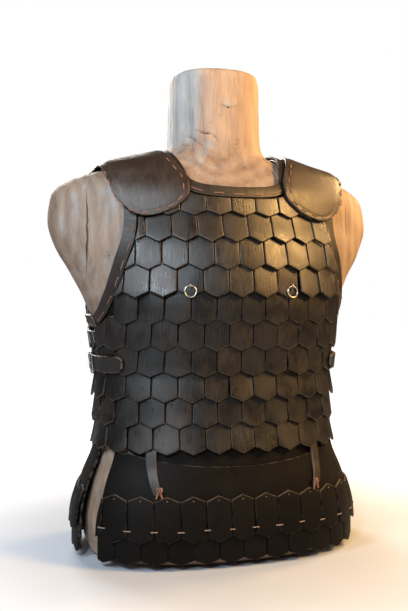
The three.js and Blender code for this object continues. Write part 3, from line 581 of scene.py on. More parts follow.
def wood_material():
    n = Nodes("wood")
    place = n.attribute("place", "Vector")
    grey_and_cool_light = n.attribute("tone")
    crack = n.attribute("edge")
    streaks = n.noise(n.mapped(place, (0.07, 0.07, 0.008)), 1.0, 6, 0.62, 0.5)
    fine = n.noise(n.mapped(place, (0.7, 0.7, 0.03)), 1.0, 4, 0.6)
    bands = n.add("TexWave", {
        "Vector": n.mapped(place, (1, 1, 0.05)), "Scale": 0.022, "Distortion": 9.0, "Detail": 3.0,
        "Detail Scale": 0.5,
    }, wave_type="RINGS", rings_direction="Z").outputs["Fac"]
    shade = n.math("ADD", n.math("MULTIPLY", streaks, 0.42), n.math("MULTIPLY", fine, 0.38))
    shade = n.math("ADD", shade, n.math("MULTIPLY", bands, 0.09))
    shade = n.math("ADD", shade, n.math("MULTIPLY", n.noise(place, 0.03, 4), 0.11))
    warm = n.ramp(shade, [
        (0.3, (0.11, 0.066, 0.043)), (0.42, (0.19, 0.127, 0.09)), (0.54, (0.26, 0.187, 0.137)),
        (0.72, (0.34, 0.262, 0.2)),
    ])
    # cool is a grey copy of the wood's colours, mixed in where the tone attribute is high: painted cool
    # light on the wearer's right side, and the wood's own grey on the hewn foot of the neck and its flake.
    cool = n.ramp(shade, [
        (0.3, (0.085, 0.078, 0.068)), (0.45, (0.2, 0.188, 0.175)), (0.7, (0.34, 0.325, 0.325)),
    ])
    mottle = n.noise(n.mapped(place, (1, 1, 0.6)), 0.035, 4, 0.6, 0.6)
    patchy = n.math("ADD", n.math("MULTIPLY", streaks, 0.5), n.math("MULTIPLY", mottle, 1.5))
    greyed_and_cool_lit = n.math("ADD", grey_and_cool_light, n.math("SUBTRACT", patchy, 1.0))
    colour = n.mix(n.range(greyed_and_cool_lit, 0.3, 0.75), warm, cool)
    aside, _, level = n.add("SeparateXYZ", {0: place}).outputs
    # The neck is drawn lighter above 545 mm. The foot is lightened below 24 mm: painted light, standing in
    # for light that the skirt's shadow keeps off it.
    pale_neck_and_painted_lit_foot = n.math("MAXIMUM", n.range(level, 545, 590, 0.0, 0.55), n.range(level, 8, 24, 1.4, 0.0))
    colour = n.mix(pale_neck_and_painted_lit_foot, colour, n.mix(1.0, colour, (1.7, 1.7, 1.7), "MULTIPLY"))
    ragged = n.math("MULTIPLY", n.math("SUBTRACT", n.noise(place, 0.4, 3), 0.5), 1.6)
    rough_edge = n.math("ADD", crack, ragged)
    colour = n.mix(n.range(rough_edge, 0.0, 1.0, 0.92, 0.0), colour, (0.035, 0.02, 0.014))
    wander = n.math("MULTIPLY", n.math("SUBTRACT", n.noise(place, 0.05, 2), 0.5), 5)
    for spot, low, high in SPLITS:
        away = n.math("ABSOLUTE", n.math("SUBTRACT", n.math("ADD", aside, wander), spot))
        from_low = n.range(level, low, low + SPLIT_TAPER, 0.0, 1.3)
        open_wide = n.math("MULTIPLY", from_low, n.range(level, high - SPLIT_TAPER, high, 1.0, 0.0))
        split = n.range(n.math("SUBTRACT", away, open_wide), -0.5, 0.3, 0.95, 0.0)
        colour = n.mix(split, colour, (0.02, 0.011, 0.008))
    height = n.math("ADD", n.math("MULTIPLY", streaks, 0.6), n.math("MULTIPLY", fine, 0.4))
    n.bump(height, 0.0009)
    return n.finish(Base_Color=colour, Roughness=n.range(fine, 0.3, 0.7, 0.55, 0.75))


thong, wood = thong_material(), wood_material()
steel = steel_material("steel", (0.33, 0.31, 0.28), (0.6, 0.58, 0.54))
dull_steel = steel_material("dull_steel", (0.05, 0.045, 0.04), (0.16, 0.145, 0.13))


# Camera, light and floor

CAMERA_DISTANCE = 1200
CAMERA_TURN = 17  # degrees from the front towards the wearer's right side
CAMERA_HEIGHT = 345
CAMERA_SIDE_STEP = 13
CAMERA_LENS = 48.02
WORLD_LIGHT = 0.06
WORLD_SEEN = 1.0


def place_camera():
    turn = math.radians(CAMERA_TURN)
    ahead = np.array([math.sin(turn), math.cos(turn), 0])
    right = np.array([math.cos(turn), -math.sin(turn), 0])
    data = bpy.data.cameras.new("camera")
    data.sensor_width = 36
    data.lens = CAMERA_LENS
    camera = bpy.data.objects.new("camera", data)
    spot = -ahead * CAMERA_DISTANCE - right * CAMERA_SIDE_STEP
    camera.location = (spot[0] * MM, spot[1] * MM, CAMERA_HEIGHT * MM)
    camera.rotation_euler = (math.pi / 2, 0, -turn)
    bpy.context.scene.collection.objects.link(camera)
    bpy.context.scene.camera = camera


def area_light(name, place, target, size, power, colour):
    data = bpy.data.lights.new(name, "AREA")
    data.shape = "RECTANGLE"
    data.size, data.size_y = size
    data.energy = power
    data.color = colour
    light = bpy.data.objects.new(name, data)
    light.location = place
    away = np.array(target, float) - np.array(place, float)
    flat = math.hypot(away[0], away[1])
    light.rotation_euler = (math.atan2(flat, -away[2]), 0, math.atan2(away[1], away[0]) - math.pi / 2)
    bpy.context.scene.collection.objects.link(light)


def studio():
    world = bpy.data.worlds.new("studio")
    world.use_nodes = True
    background = world.node_tree.nodes["Background"]
    background.inputs["Color"].default_value = (1, 1, 1, 1)
    seen = world.node_tree.nodes.new("ShaderNodeLightPath").outputs["Is Camera Ray"]
    strength = world.node_tree.nodes.new("ShaderNodeMapRange")
    strength.inputs["To Min"].default_value = WORLD_LIGHT
    strength.inputs["To Max"].default_value = WORLD_SEEN
    world.node_tree.links.new(seen, strength.inputs["Value"])
    world.node_tree.links.new(strength.outputs["Result"], background.inputs["Strength"])
    bpy.context.scene.world = world
    bpy.context.scene.view_settings.view_transform = "Standard"
    middle = (0, 0, 0.35)
    area_light("cool_front", (-0.72, -1.28, 0.98), middle, (0.22, 0.3), 15, (0.78, 0.9, 1.0))
    area_light("cool_side", (-1.05, -0.65, 1.1), middle, (0.4, 0.6), 14, (0.88, 0.94, 1.0))
    area_light("warm_side", (0.95, -0.85, 1.15), middle, (0.42, 0.5), 40, (1.0, 0.57, 0.2))
    area_light("warm_edge", (1.15, 0.3, 1.0), middle, (0.4, 0.6), 20, (1.0, 0.6, 0.25))
    area_light("back_light", (-0.3, 1.4, 1.1), middle, (0.7, 0.7), 26, (1.0, 0.93, 0.86))


FLOOR_GLOW_FROM_TO = (0.12, 0.85)  # metres from the middle over which the floor turns white
FLOOR_GLOW = 1.0


def floor():
    n = Nodes("floor")
    spot = n.add("TexCoord").outputs["Object"]
    away = n.add("VectorMath", {0: spot}, operation="LENGTH").outputs["Value"]
    grain = n.noise(spot, 6.0, 2)
    colour = n.ramp(grain, [(0.3, (0.36, 0.4, 0.46)), (0.7, (0.39, 0.43, 0.49))])
    n.shader.inputs["Emission Color"].default_value = (1, 1, 1, 1)
    seen = n.add("LightPath").outputs["Is Camera Ray"]
    glow = n.math("MULTIPLY", n.range(away, *FLOOR_GLOW_FROM_TO, 0.0, FLOOR_GLOW), seen)
    n.finish(Base_Color=colour, Roughness=0.8, Emission_Strength=glow)
    mesh = bpy.data.meshes.new("floor")
    sides, reach = 64, 14
    corners = [
        (reach * math.cos(2 * math.pi * k / sides), reach * math.sin(2 * math.pi * k / sides), 0)
        for k in range(sides)
    ]
    mesh.from_pydata(corners, [], [list(range(sides))])
    mesh.materials.append(n.material)
    made = bpy.data.objects.new("floor", mesh)
    bpy.context.scene.collection.objects.link(made)


# The wooden form

def polyline_distance(points, line):
    """From each point to the nearest place on a line of corners, and how far along that is."""
    nearest = np.full(points.shape[:-1], np.inf)
    along = np.zeros(points.shape[:-1])
    for n, (a, b) in enumerate(zip(line[:-1], line[1:])):
        a, b = np.array(a, float), np.array(b, float)
        share = np.clip(((points - a) @ (b - a)) / ((b - a) @ (b - a)), 0, 1)
        gap = np.linalg.norm(points - (a + share[..., None] * (b - a)), axis=-1)
        along = np.where(gap < nearest, (n + share) / (len(line) - 1), along)
        nearest = np.minimum(nearest, gap)
    return nearest, along


# Drying cracks: corners as polar angle and height, half width and depth.
CRACKS = [
    ([(-42, 589), (-35, 588), (-28, 584), (-23, 584.5), (-16, 581), (-13, 576), (-8, 566)], 1.6, 2.2),
    ([(-58, 580), (-48.5, 581.5), (-41, 578), (-36, 571.5), (-29, 568), (-26, 560)], 1.5, 1.8),
    ([(-58, 572), (-50, 568.5), (-43, 570)], 1.3, 1.2),
    ([(-17, 627), (-7, 624), (2, 621.5), (12, 624.5), (18, 628)], 1.2, 1.4),
    ([(8, 570), (17, 572)], 1.2, 0.8),
    ([(40, 541), (40.5, 535), (38.5, 525), (38, 515)], 1.6, 2.6),
    ([(150, 560), (152, 600), (149, 650)], 1.1, 1.8),
    ([(-140, 590), (-138, 640), (-139, 676)], 1.1, 1.8),
    ([(168, 582), (176, 588), (184, 586), (190, 577)], 1.5, 1.8),
    ([(-118, 505), (-112, 470), (-110, 430), (-113, 400)], 1.4, 3.5),
    ([(116, 500), (112, 465), (114, 425)], 1.4, 3.0),
]
# Knots and brown smudges: polar angle, height, radius.
KNOTS = [(2, 604.5, 4.0), (125, 610, 4.5), (-160, 580, 3.5), (-100, 465, 6.0)]
SMUDGES = [(-9, 611, 4.5), (-21, 600, 3.0), (14, 577, 4.0), (165, 620, 5.0), (-66, 412, 9.0)]


TOOL_WAVES = [(3, 0.011), (7, 0.017), (13, 0.023), (29, 0.009)]


def wood_marks(angle, z, radius):
    """How near each point is to a crack, knot or smudge, and how deep the cracks are."""
    flat = np.stack([angle * math.pi / 180 * radius, z], -1)
    crack = np.full(z.shape, 9.0)
    sunk = np.zeros(z.shape)
    for corners, half, depth in CRACKS:
        corners = np.array(corners, float)
        line_z = corners[:, 1]
        line_radius = np.linalg.norm(polar(abs(corners[:, 0]), line_z)[:, :2], axis=1)
        line = np.stack([corners[:, 0] * math.pi / 180 * line_radius, line_z], -1)
        gap, along = polyline_distance(flat, line)
        open_wide = np.sqrt(np.maximum(np.sin(math.pi * along), 0.08))
        open_wide *= 0.78 + 0.22 * np.sin(21 * along + half) * np.sin(8 * along)
        sunk = np.maximum(sunk, depth * open_wide * np.exp(-(gap / (half * open_wide)) ** 2))
        crack = np.minimum(crack, gap / (half * 1.4 * open_wide) + 0.5 * (1 - open_wide))
    for turn, height, size in KNOTS:
        gap = np.hypot((angle - turn) * math.pi / 180 * radius, (z - height) * 1.3)
        crack = np.minimum(crack, 0.4 + abs(gap - size) / 1.2)
    for turn, height, size in SMUDGES:
        gap = np.hypot((angle - turn) * math.pi / 180 * radius, z - height)
        crack = np.minimum(crack, 0.62 + 0.5 * (gap / size) ** 2)
    return crack, sunk


def neck_marks(angle, z, sunk):
    """The hewn foot of the neck and the raised flake on it, and where the wood is drawn grey: the grey of
    the hewn foot and the flake is the wood's own, and the grey on the wearer's right side is painted cool
    light.
    """
    hewn = smoothstep(-angle, 2, 12) * smoothstep(angle, -75, -60)
    hewn *= smoothstep(z, 522, 536) * (1 - smoothstep(z + 0.5 * abs(angle + 30), 572, 590))
    chips = np.sin(angle / 3.1 + z / 5) * np.sin(z / 4.3 - angle / 7) + np.sin(angle / 5.3 - z / 9)
    sunk += hewn * (0.7 + 0.45 * chips)
    tongue = smoothstep(z, 621, 623 + 0.012 * (angle - 2) ** 2) * (1 - smoothstep(z, 630, 652))
    tongue *= 1 - smoothstep(abs(angle - 2), 9, 16)
    sunk = sunk - 0.8 * tongue
    # Painted cool light: the wearer's right side of the neck is greyed where the cool lamps fall.
    grey_and_cool_light = 0.8 * smoothstep(-angle, 25, 40) * smoothstep(z, 560, 580)
    grey_and_cool_light = np.maximum(grey_and_cool_light, (0.4 + 0.12 * chips) * hewn)
    grey_and_cool_light = np.maximum(grey_and_cool_light, 0.65 * tongue)
    # Painted cool light: the wearer's right side below the neck is greyed too.
    grey_and_cool_light = np.maximum(grey_and_cool_light, 0.34 * smoothstep(-angle, 20, 55) * (1 - smoothstep(z, 525, 545)))
    return sunk, grey_and_cool_light


def torso():
    heights = np.concatenate([
        np.arange(0, 14, 1.0), np.arange(14, 300, 4.0), np.arange(300, 480, 3.0),
        np.arange(480, 500, 2.0), np.arange(500, 560, 1.2), np.arange(560, 678, 1.5), [677, 678],
    ])
    sides = 320
    shares = 2 * np.arange(sides) / sides
    turns = np.where(shares <= 1, shares, 2 - shares)
    z = np.broadcast_to(heights[:, None], (len(heights), sides))
    degrees = angle_at_arc(turns[None, :] * half_girth(z), z)
    points = polar(degrees, z)
    signs = np.where(shares <= 1, 1, -1)
    points[..., 0] *= signs
    normals = outward(points)
    angle = degrees * signs
    radius = np.hypot(points[..., 0], points[..., 1])
    crack, sunk = wood_marks(angle, z, radius)
    for k, (turns, rises) in enumerate(TOOL_WAVES):
        sunk += 0.14 * (1 + np.sin(turns * np.radians(angle) + rises * z * 2 * math.pi + k))
    sunk, grey_and_cool_light = neck_marks(angle, z, sunk)
    points = points - normals * sunk[..., None]
    rows = len(heights)
    i, j = np.meshgrid(np.arange(rows - 1), np.arange(sides), indexing="ij")
    a, b = i * sides + j, i * sides + (j + 1) % sides
    faces = np.stack([a, b, b + sides, a + sides], -1).reshape(-1, 4).tolist()
    all_points = [points.reshape(-1, 3)]
    total = rows * sides
    for ring, level in ((0, 0.0), (rows - 1, float(FORM_TOP))):
        before = ring * sides
        for share in (0.85, 0.6, 0.3, 0.08):
            loop = points[ring] * np.array([share, share, 1])
            loop[:, 2] = level
            all_points.append(loop)
            for n in range(sides):
                m = (n + 1) % sides
                face = [before + n, before + m, total + m, total + n]
                faces.append(face[::-1] if ring == 0 else face)
            before = total
            total += sides
        cap = list(range(before, before + sides))
        faces.append(cap[::-1] if ring == 0 else cap)
    points = np.concatenate(all_points)
    extra = len(points) - rows * sides
    crack = np.concatenate([crack.ravel(), np.full(extra, 9.0)])
    grey_and_cool_light = np.concatenate([grey_and_cool_light.ravel(), np.full(extra, 0.2)])
    form = part(points, faces, crack, grey_and_cool_light, points)
    piece("wooden_form", [form], wood, ["torso_form"], sharp=60)


# Scales and plates

BEVEL_STEPS = (0.0, 0.35, 0.85, 1.6)
BEVEL = 1.0
PLATE_ACROSS = 9
PLATE_DOWN = 9


def spread(length, inner):
    """Shares of a length: close together near both ends, for the rounded rim."""
    near = np.array(BEVEL_STEPS) * min(1, length / 12) / length
    middle = np.linspace(near[-1], 1 - near[-1], inner + 2)[1:-1]
    return np.concatenate([near, middle, 1 - near[::-1]])


def rounded(distance, radius):
    """How far a rim's face drops at a distance from it."""
    inside = np.clip(radius - distance, 0, radius)
    return radius - np.sqrt(radius ** 2 - inside ** 2)


def from_middle(arc, offset, width):
    turns = (arc - offset) / width
    return 2 * abs(turns - np.round(turns))


def facade(is_back):
    return "back" if is_back else "front"


def plate_row(seed, on, offset, edges, top, tip, point, width, thick, lift, tones, stand=None):
    """A row of pointed plates, each a body of its own, a little unlike the next one. stand
    gives the most that a plate's tip may stand off further, by its middle."""
    rng = np.random.default_rng(seed)
    ends = [edges(top(0.0)), edges(tip)]
    least, most = min(e[0] for e in ends), max(e[1] for e in ends)
    first = math.ceil((least + LEAST_PLATE - width / 2 - offset) / width)
    last = math.floor((most - LEAST_PLATE + width / 2 - offset) / width)
    parts = []
    for k in range(first, last + 1):
        middle = offset + k * width
        gap, slide, drop, twist, belly, tone = rng.random(6)
        half = width / 2 - 0.45 - 0.4 * gap
        centre = middle + 0.3 * (slide - 0.5)
        tone = lerp(*tones, tone)
        s = spread(2 * half, PLATE_ACROSS)
        t = spread(top(middle) - tip, PLATE_DOWN)
        rough_z = lerp(top(middle), tip, t)
        left = np.array([max(centre - half, edges(z)[0]) for z in rough_z])
        right = np.array([min(centre + half, edges(z)[1]) for z in rough_z])
        right = np.maximum(right, left + 0.6)
        arc = left[None, :] + s[:, None] * (right - left)[None, :]
        inner = slice(len(BEVEL_STEPS), -len(BEVEL_STEPS))
        column = len(BEVEL_STEPS) + int(np.argmin(abs(arc[inner, -1] - middle)))
        if left.max() + 3 < middle < right.min() - 3:
            arc[column] = middle
        low = tip + 0.8 * (drop - 0.5) + point * from_middle(arc[:, -1], offset, width)
        high = np.array([top(a) for a in arc[:, 0]])
        z = high[:, None] + (low - high)[:, None] * t[None, :]
        slant = 1 / math.hypot(1, 2 * point / width)
        to_tip = (z - low[:, None]) * slant
        beside = np.minimum(arc - left, right - arc)
        edge = np.minimum(beside, np.minimum(to_tip, high[:, None] - z))
        sideways = (arc - middle) / (width / 2)
        sag = 0.35 * (1 - sideways ** 2) * (0.4 + belly)
        away = stand(middle) * (0.2 + 0.8 * belly) if stand else 0.0
        lean = 2.0 * (twist - 0.5) * sideways + (away + 0.7 * (drop - 0.5)) * t[None, :]
        rise = lift(arc, z) + lean
        outer = on(arc, z, rise + thick + sag - rounded(np.maximum(edge, 0), BEVEL))
        under = on(arc, z, rise)
        place = np.stack([arc - middle + 37 * k, z, np.full(z.shape, seed % 97 + 11.0 * k)], -1)
        rubbed = np.minimum(np.minimum(to_tip, high[:, None] - z), 0.35 + 1.6 * beside)
        parts.append(slab(outer, under, rubbed, tone, place))
    return same_way(parts)


side_seam = smooth_table(SIDE_SEAM)
armhole = smooth_table(ARMHOLE)
armhole_height = smooth_table([(arc, z) for z, arc in reversed(ARMHOLE)])
neck_low, neck_high = smooth_table(NECKLINE, 1), smooth_table(NECKLINE, 2)
scale_drift = smooth_table(SCALE_DRIFT)
skirt_flare = smooth_table(SKIRT_FLARE)


def neck_angle(arc, is_back):
    z = NECK_HEIGHT["back" if is_back else "front"]
    return angle_at_arc(half_girth(z) - arc if is_back else arc, z)


def back_seam(z):
    return half_girth(z) - side_seam(z) - SEAM


def row_ceiling(arc, is_back):
    """Where the tops of a row of scales stop, under the neck binding and the armpit."""
    away = abs(arc)
    band = ROW_UNDER_BAND
    if away > band["from"]:
        share = min(1, (away - band["from"]) / (band["to"] - band["from"]))
        return lerp(ARMPIT_HEIGHT, band["back" if is_back else "front"], share)
    binding = float(neck_low(neck_angle(max(0, away - ROW_BINDING_REACH), is_back))) - 5 * SEAM
    pad = ROW_UNDER_PAD
    if away < pad["from"]:
        return binding
    seam = SHOULDER_SEAM_HEIGHT - 4 * SEAM
    hidden = min(1, (away - pad["from"]) / (pad["to"] - pad["from"]))
    return lerp(max(binding, seam), seam, hidden)


def scale_row(is_back, number):
    tip = FIRST_TIP - ROW_STEP * (number - 1)
    full = tip + SCALE_LENGTH
    above_armpit = tip > ARMPIT_HEIGHT - ARMPIT_MARGIN

    def reach(z):
        if number == 0:
            return NECK_COLUMN - YOKE_MARGIN
        if not above_armpit:
            z = min(z, ARMPIT_HEIGHT)
            return float(back_seam(z) if is_back else side_seam(z)) - ROW_SEAM
        height = max(z, ARMPIT_HEIGHT + ARMPIT_STEP)
        slope = float(armhole(height + 1) - armhole(height - 1)) / 2
        return float(armhole(height)) - BAND_WIDTH * math.hypot(1, slope) - BAND_CLEARANCE

    def top(arc):
        return full if above_armpit and number > 1 else min(full, row_ceiling(arc, is_back))

    def stand(middle):
        near_ring = number in (4, 5) and abs(abs(middle) - RING["arc"]) < SCALE_WIDTH * 0.75
        under_strap = number in (6, 7) and abs(middle) > WAIST_STRAP_SPANS["front"][0] - SCALE_WIDTH
        if (near_ring or under_strap) and not is_back:
            return 0.0
        return TIP_STAND.get(number, 2.0)

    parts = plate_row(
        100 * is_back + number, on_back if is_back else on_front,
        float(scale_drift(tip)) + (0 if number % 2 == 0 else SCALE_WIDTH / 2),
        lambda z: (-reach(z), reach(z)), top, tip, SCALE_POINT, SCALE_WIDTH, SCALE_THICK,
        lambda arc, z: BASE_OUTER + lerp(SCALE_TOP_LIFT, SCALE_TIP_LIFT, (full - z) / SCALE_LENGTH),
        # darker tones for rows 5 and below: painted shade
        HIGH_ROW_LIT_TONES if number <= 4 else LOW_ROW_SHADED_TONES, stand,
    )
    node = f"{facade(is_back)}_row_{number + is_back:02d}"
    piece(f"{node}_scales", parts, dark_leather, [node])


def skirt_lift(arc, z, is_back):
    girth = half_girth(z)
    away = np.minimum(abs(np.asarray(arc, float)), girth - 1)
    side = 180 - angle_at_arc(girth - away, z) if is_back else angle_at_arc(away, z)
    turned = smoothstep(np.minimum(side, 180 - side), *FLARE_TURN)
    share = lerp(FLARE_CENTRE_SHARE, 1, turned)
    return FLARE_LEAST + (skirt_flare(z) - FLARE_LEAST) * share


def skirt_edges(z, is_back):
    low, high = SKIRT_BACK_EDGES if is_back else SKIRT_FRONT_EDGES

    def arc_to(degrees):
        angle = abs(degrees)
        return half_girth(z) - arc_at_angle(180 - angle, z) if is_back else arc_at_angle(angle, z)

    return -arc_to(low), arc_to(high)


def on_skirt(arc, z, lift, is_back):
    arc, z, lift = np.broadcast_arrays(*(np.asarray(v, float) for v in (arc, z, lift)))
    height = np.maximum(z, SKIRT_STRAIGHT)
    points = (on_back if is_back else on_front)(arc, height, lift)
    points[..., 2] += z - height
    return points


def plate_lift(size, arc, z, is_back):
    """How far the inside of a skirt plate stands off the wood."""
    highest = size["top"] + size["peak"]
    off = lerp(size["top_lift"], size["tip_lift"], (highest - z) / (highest - size["tip"]))
    return skirt_lift(arc, np.maximum(z, SKIRT_STRAIGHT), is_back) + SKIRT_PANEL_THICK + off


def skirt_plates(is_back, size, kind, seed):
    def edges(z):
        low, high = skirt_edges(max(z, SKIRT_STRAIGHT), is_back)
        return float(low) + SEAM, float(high) - SEAM

    parts = plate_row(
        seed + 10 * is_back, lambda arc, z, rise: on_skirt(arc, z, rise, is_back), size["offset"], edges,
        lambda arc: size["top"] + size["peak"] * (1 - from_middle(arc, size["offset"], size["width"])),
        size["tip"], size["point"], size["width"], PLATE_THICK,
        lambda arc, z: plate_lift(size, arc, z, is_back), SKIRT_TONES,
    )
    node = f"skirt_{kind}_plates_{facade(is_back)}"
    if size["peak"]:
        parts = [cut_top(one) for one in parts]
    piece(f"{node}_leather", parts, skirt_leather, [node])


def cut_top(one):
    """A plate whose top is a clean light cut."""
    height = one["place"][:, 1]
    rows = one["edge"]
    near_top = height > height.max() - LONG_PLATES["peak"] - 1.5
    return {**one, "edge": np.where(near_top & (rows < 1), rows - 1.8, rows)}


# Leather shells

def leather_piece(node, body, material):
    piece(f"{node}_leather", [body], material, [node])


def shell(wide, long, across, down, place_on, thick, tone=0.5, seed=0, round_off=0.9, wave=0.0):
    """A wall of leather with rounded rims. place_on(s, t, lift) gives points, and s and t run
    from 0 to 1 along its width and length."""
    s, t = spread(wide, across), spread(long, down)
    s, t = np.meshgrid(s, t, indexing="ij")
    edge = np.minimum(np.minimum(s, 1 - s) * wide, np.minimum(t, 1 - t) * long)
    phase = np.random.default_rng(seed).random(6) * 2 * math.pi
    x, y = s * wide, t * long
    soft = (
        np.sin(x / 31 + phase[0] + np.sin(y / 47 + phase[1])) + 0.6 * np.sin(y / 23 + phase[2] + x / 61)
        + 0.4 * np.sin(x / 13 + phase[3]) * np.sin(y / 17 + phase[4])
    )
    swell = wave * (soft + 2) / 4
    outer = place_on(s, t, thick - rounded(edge, round_off) + swell)
    inner = place_on(s, t, np.zeros(s.shape))
    place = np.stack([x, y, np.full(x.shape, 13.0 * seed)], -1)
    return turned_out(slab(outer, inner, edge, tone, place))


def panel_top(arc, is_back):
    arc = abs(arc)
    if arc <= NECK_COLUMN:
        return float(neck_high(neck_angle(arc, is_back))) - PANEL_UNDER_BINDING
    if arc < SHOULDER_COLUMN:
        share = (arc - NECK_COLUMN) / (SHOULDER_COLUMN - NECK_COLUMN)
        return lerp(panel_top(NECK_COLUMN, is_back), SHOULDER_SEAM_HEIGHT, share)
    if arc <= SEAM_END_COLUMN:
        return SHOULDER_SEAM_HEIGHT
    return ARMPIT_HEIGHT if arc > ARMHOLE[0][1] else float(armhole_height(arc))


def base_panel(is_back):
    seam, on = (back_seam, on_back) if is_back else (side_seam, on_front)
    widest = float(seam(ARMPIT_HEIGHT))
    half = np.concatenate([
        np.linspace(0, NECK_COLUMN, 15)[:-1], np.linspace(NECK_COLUMN, SHOULDER_COLUMN, 5)[:-1],
        np.linspace(SHOULDER_COLUMN, SEAM_END_COLUMN, 19)[:-1],
        np.linspace(SEAM_END_COLUMN, ARMHOLE[0][1], 21),
        np.linspace(ARMHOLE[0][1], widest, 14)[1:] if is_back else [],
    ])
    columns = np.concatenate([-half[:0:-1], half])
    rises = 1 - (1 - spread(330, 46)) ** 1.3
    tops = np.array([panel_top(c, is_back) for c in columns])
    hems = lerp(HEM["centre"], HEM["side"], smoothstep(abs(columns), HEM["from"], HEM["to"]))
    z = hems[:, None] + (tops - hems)[:, None] * rises[None, :]
    narrowed = np.where(z < ARMPIT_HEIGHT, seam(np.minimum(z, ARMPIT_HEIGHT)) / widest, 1)
    arc = columns[:, None] * narrowed
    edge = np.minimum(z - hems[:, None], tops[:, None] - z)
    edge = np.minimum(edge, (widest - abs(columns))[:, None])
    outer = on(arc, z, BASE_OUTER - rounded(np.clip(edge, 0, None), 0.7))
    inner = on(arc, z, BASE_GAP)
    place = np.stack([arc, z, np.full(z.shape, 5.0 + 9 * is_back)], -1)
    leather_piece(f"{facade(is_back)}_base", turned_out(slab(outer, inner, edge, 0.3, place)), skirt_leather)


def neck_point(turn, t, lift, is_back):
    """A point of the neck binding: turn in degrees from its middle, t from its lower edge."""
    angle = 180 - abs(turn) if is_back else abs(turn)
    z = lerp(neck_low(angle), neck_high(angle), t)
    points = polar(angle, z)
    points[..., 0] *= np.where(turn < 0, -1, 1)
    return lifted(points, lift)


def neck_band(is_back):
    half = 90 - SEAM
    lay = BASE_OUTER + NECK_LAY
    body = shell(
        290, 12.5, 90, 3,
        lambda s, t, rise: neck_point(lerp(-half, half, s), t, lay + rise, is_back),
        BAND_THICK, 0.55, 3 + is_back, 0.8,
    )
    leather_piece(f"neck_band_{facade(is_back)}", body, binding_leather)


def catmull(rows):
    """The centripetal curve that the CAD's band follows, by share of its length."""
    points = np.array(rows, float)
    first = 2 * points[0] - points[1]
    last = 2 * points[-1] - points[-2]
    padded = np.concatenate([[first], points, [last]])
    samples = []
    for n in range(len(points) - 1):
        p0, p1, p2, p3 = padded[n:n + 4]
        d0, d1, d2 = (max(np.linalg.norm(b - a) ** 0.5, 1e-4) for a, b in ((p0, p1), (p1, p2), (p2, p3)))
        m1 = ((p1 - p0) / d0 - (p2 - p0) / (d0 + d1) + (p2 - p1) / d1) * d1
        m2 = ((p2 - p1) / d1 - (p3 - p1) / (d1 + d2) + (p3 - p2) / d2) * d1
        for t in np.linspace(0, 1, 40, endpoint=n == len(points) - 2):
            a = (1 + 2 * t) * (1 - t) ** 2 * p1 + t * (1 - t) ** 2 * m1
            samples.append(a + t * t * (3 - 2 * t) * p2 + t * t * (t - 1) * m2)
    samples = np.array(samples)
    length = np.concatenate([[0], np.cumsum(np.linalg.norm(np.diff(samples, axis=0), axis=1))])
    slopes = np.gradient(samples, length, axis=0)
    slopes /= np.linalg.norm(slopes, axis=1, keepdims=True)

    def at(share):
        u = np.asarray(share) * length[-1]
        spot = np.stack([np.interp(u, length, samples[:, c]) for c in (0, 1)], -1)
        slope = np.stack([np.interp(u, length, slopes[:, c]) for c in (0, 1)], -1)
        return spot, slope

    return at, length[-1]


def band_path(is_back):
    rows = BACK_BAND_START + ARMHOLE[1:] if is_back else ARMHOLE
    return catmull([(arc, z) for z, arc in rows])


def band_point(is_back, side, share, inset, lift):
    spot, slope = band_path(is_back)[0](share)
    arc = side * (spot[..., 0] - slope[..., 1] * inset)
    z = spot[..., 1] + slope[..., 0] * inset
    return (on_back if is_back else on_front)(arc, z, lift)


def armhole_band(is_back, side, name):
    length = band_path(is_back)[1]
    lay = BASE_OUTER + LAY
    body = shell(
        length, BAND_WIDTH, 60, 4,
        lambda s, t, rise: band_point(is_back, side, s, t * BAND_WIDTH, lay + rise),
        BAND_THICK, 0.5, 7 + side + 4 * is_back, 0.8,
    )
    node = f"armhole_band_{facade(is_back)}_{name}"
    leather_piece(node, body, binding_leather)


def strap_tilt(x, way):
    """The tilt to the front (way 1) or back (-1) at which the shoulder passes its seam's height."""
    low, high = np.full(np.shape(x), 20.0), np.full(np.shape(x), 85.0)
    for _ in range(BISECTIONS):
        tilt = (low + high) / 2
        above = on_shoulder(x, way * tilt, 0.0)[..., 2] > SHOULDER_SEAM_HEIGHT + SEAM
        low, high = np.where(above, tilt, low), np.where(above, high, tilt)
    return tilt


def shoulder_strap(side, name):
    shares = np.linspace(0, 1, 41)
    ends = lerp(STRAP_END[0], STRAP_END[1], shares)
    front, back = strap_tilt(ends, 1), strap_tilt(ends, -1)

    def at(s, t, lift):
        turn = 2 * t - 1
        most = np.where(turn > 0, np.interp(s, shares, front), np.interp(s, shares, back))
        x = lerp(lerp(*STRAP_RIDGE, s), lerp(*STRAP_END, s), abs(turn))
        return on_shoulder(side * x, turn * most, STRAP_GAP + lift)

    body = shell(80, 175, 12, 40, at, BASE_THICK, 0.4, 21 + side, 0.7)
    leather_piece(f"shoulder_strap_{name}", body, dark_leather)


pad_inner, pad_outer, pad_lift = smooth_table(PAD_LOBE, 1), smooth_table(PAD_LOBE, 2), smooth_table(PAD_LIFT)


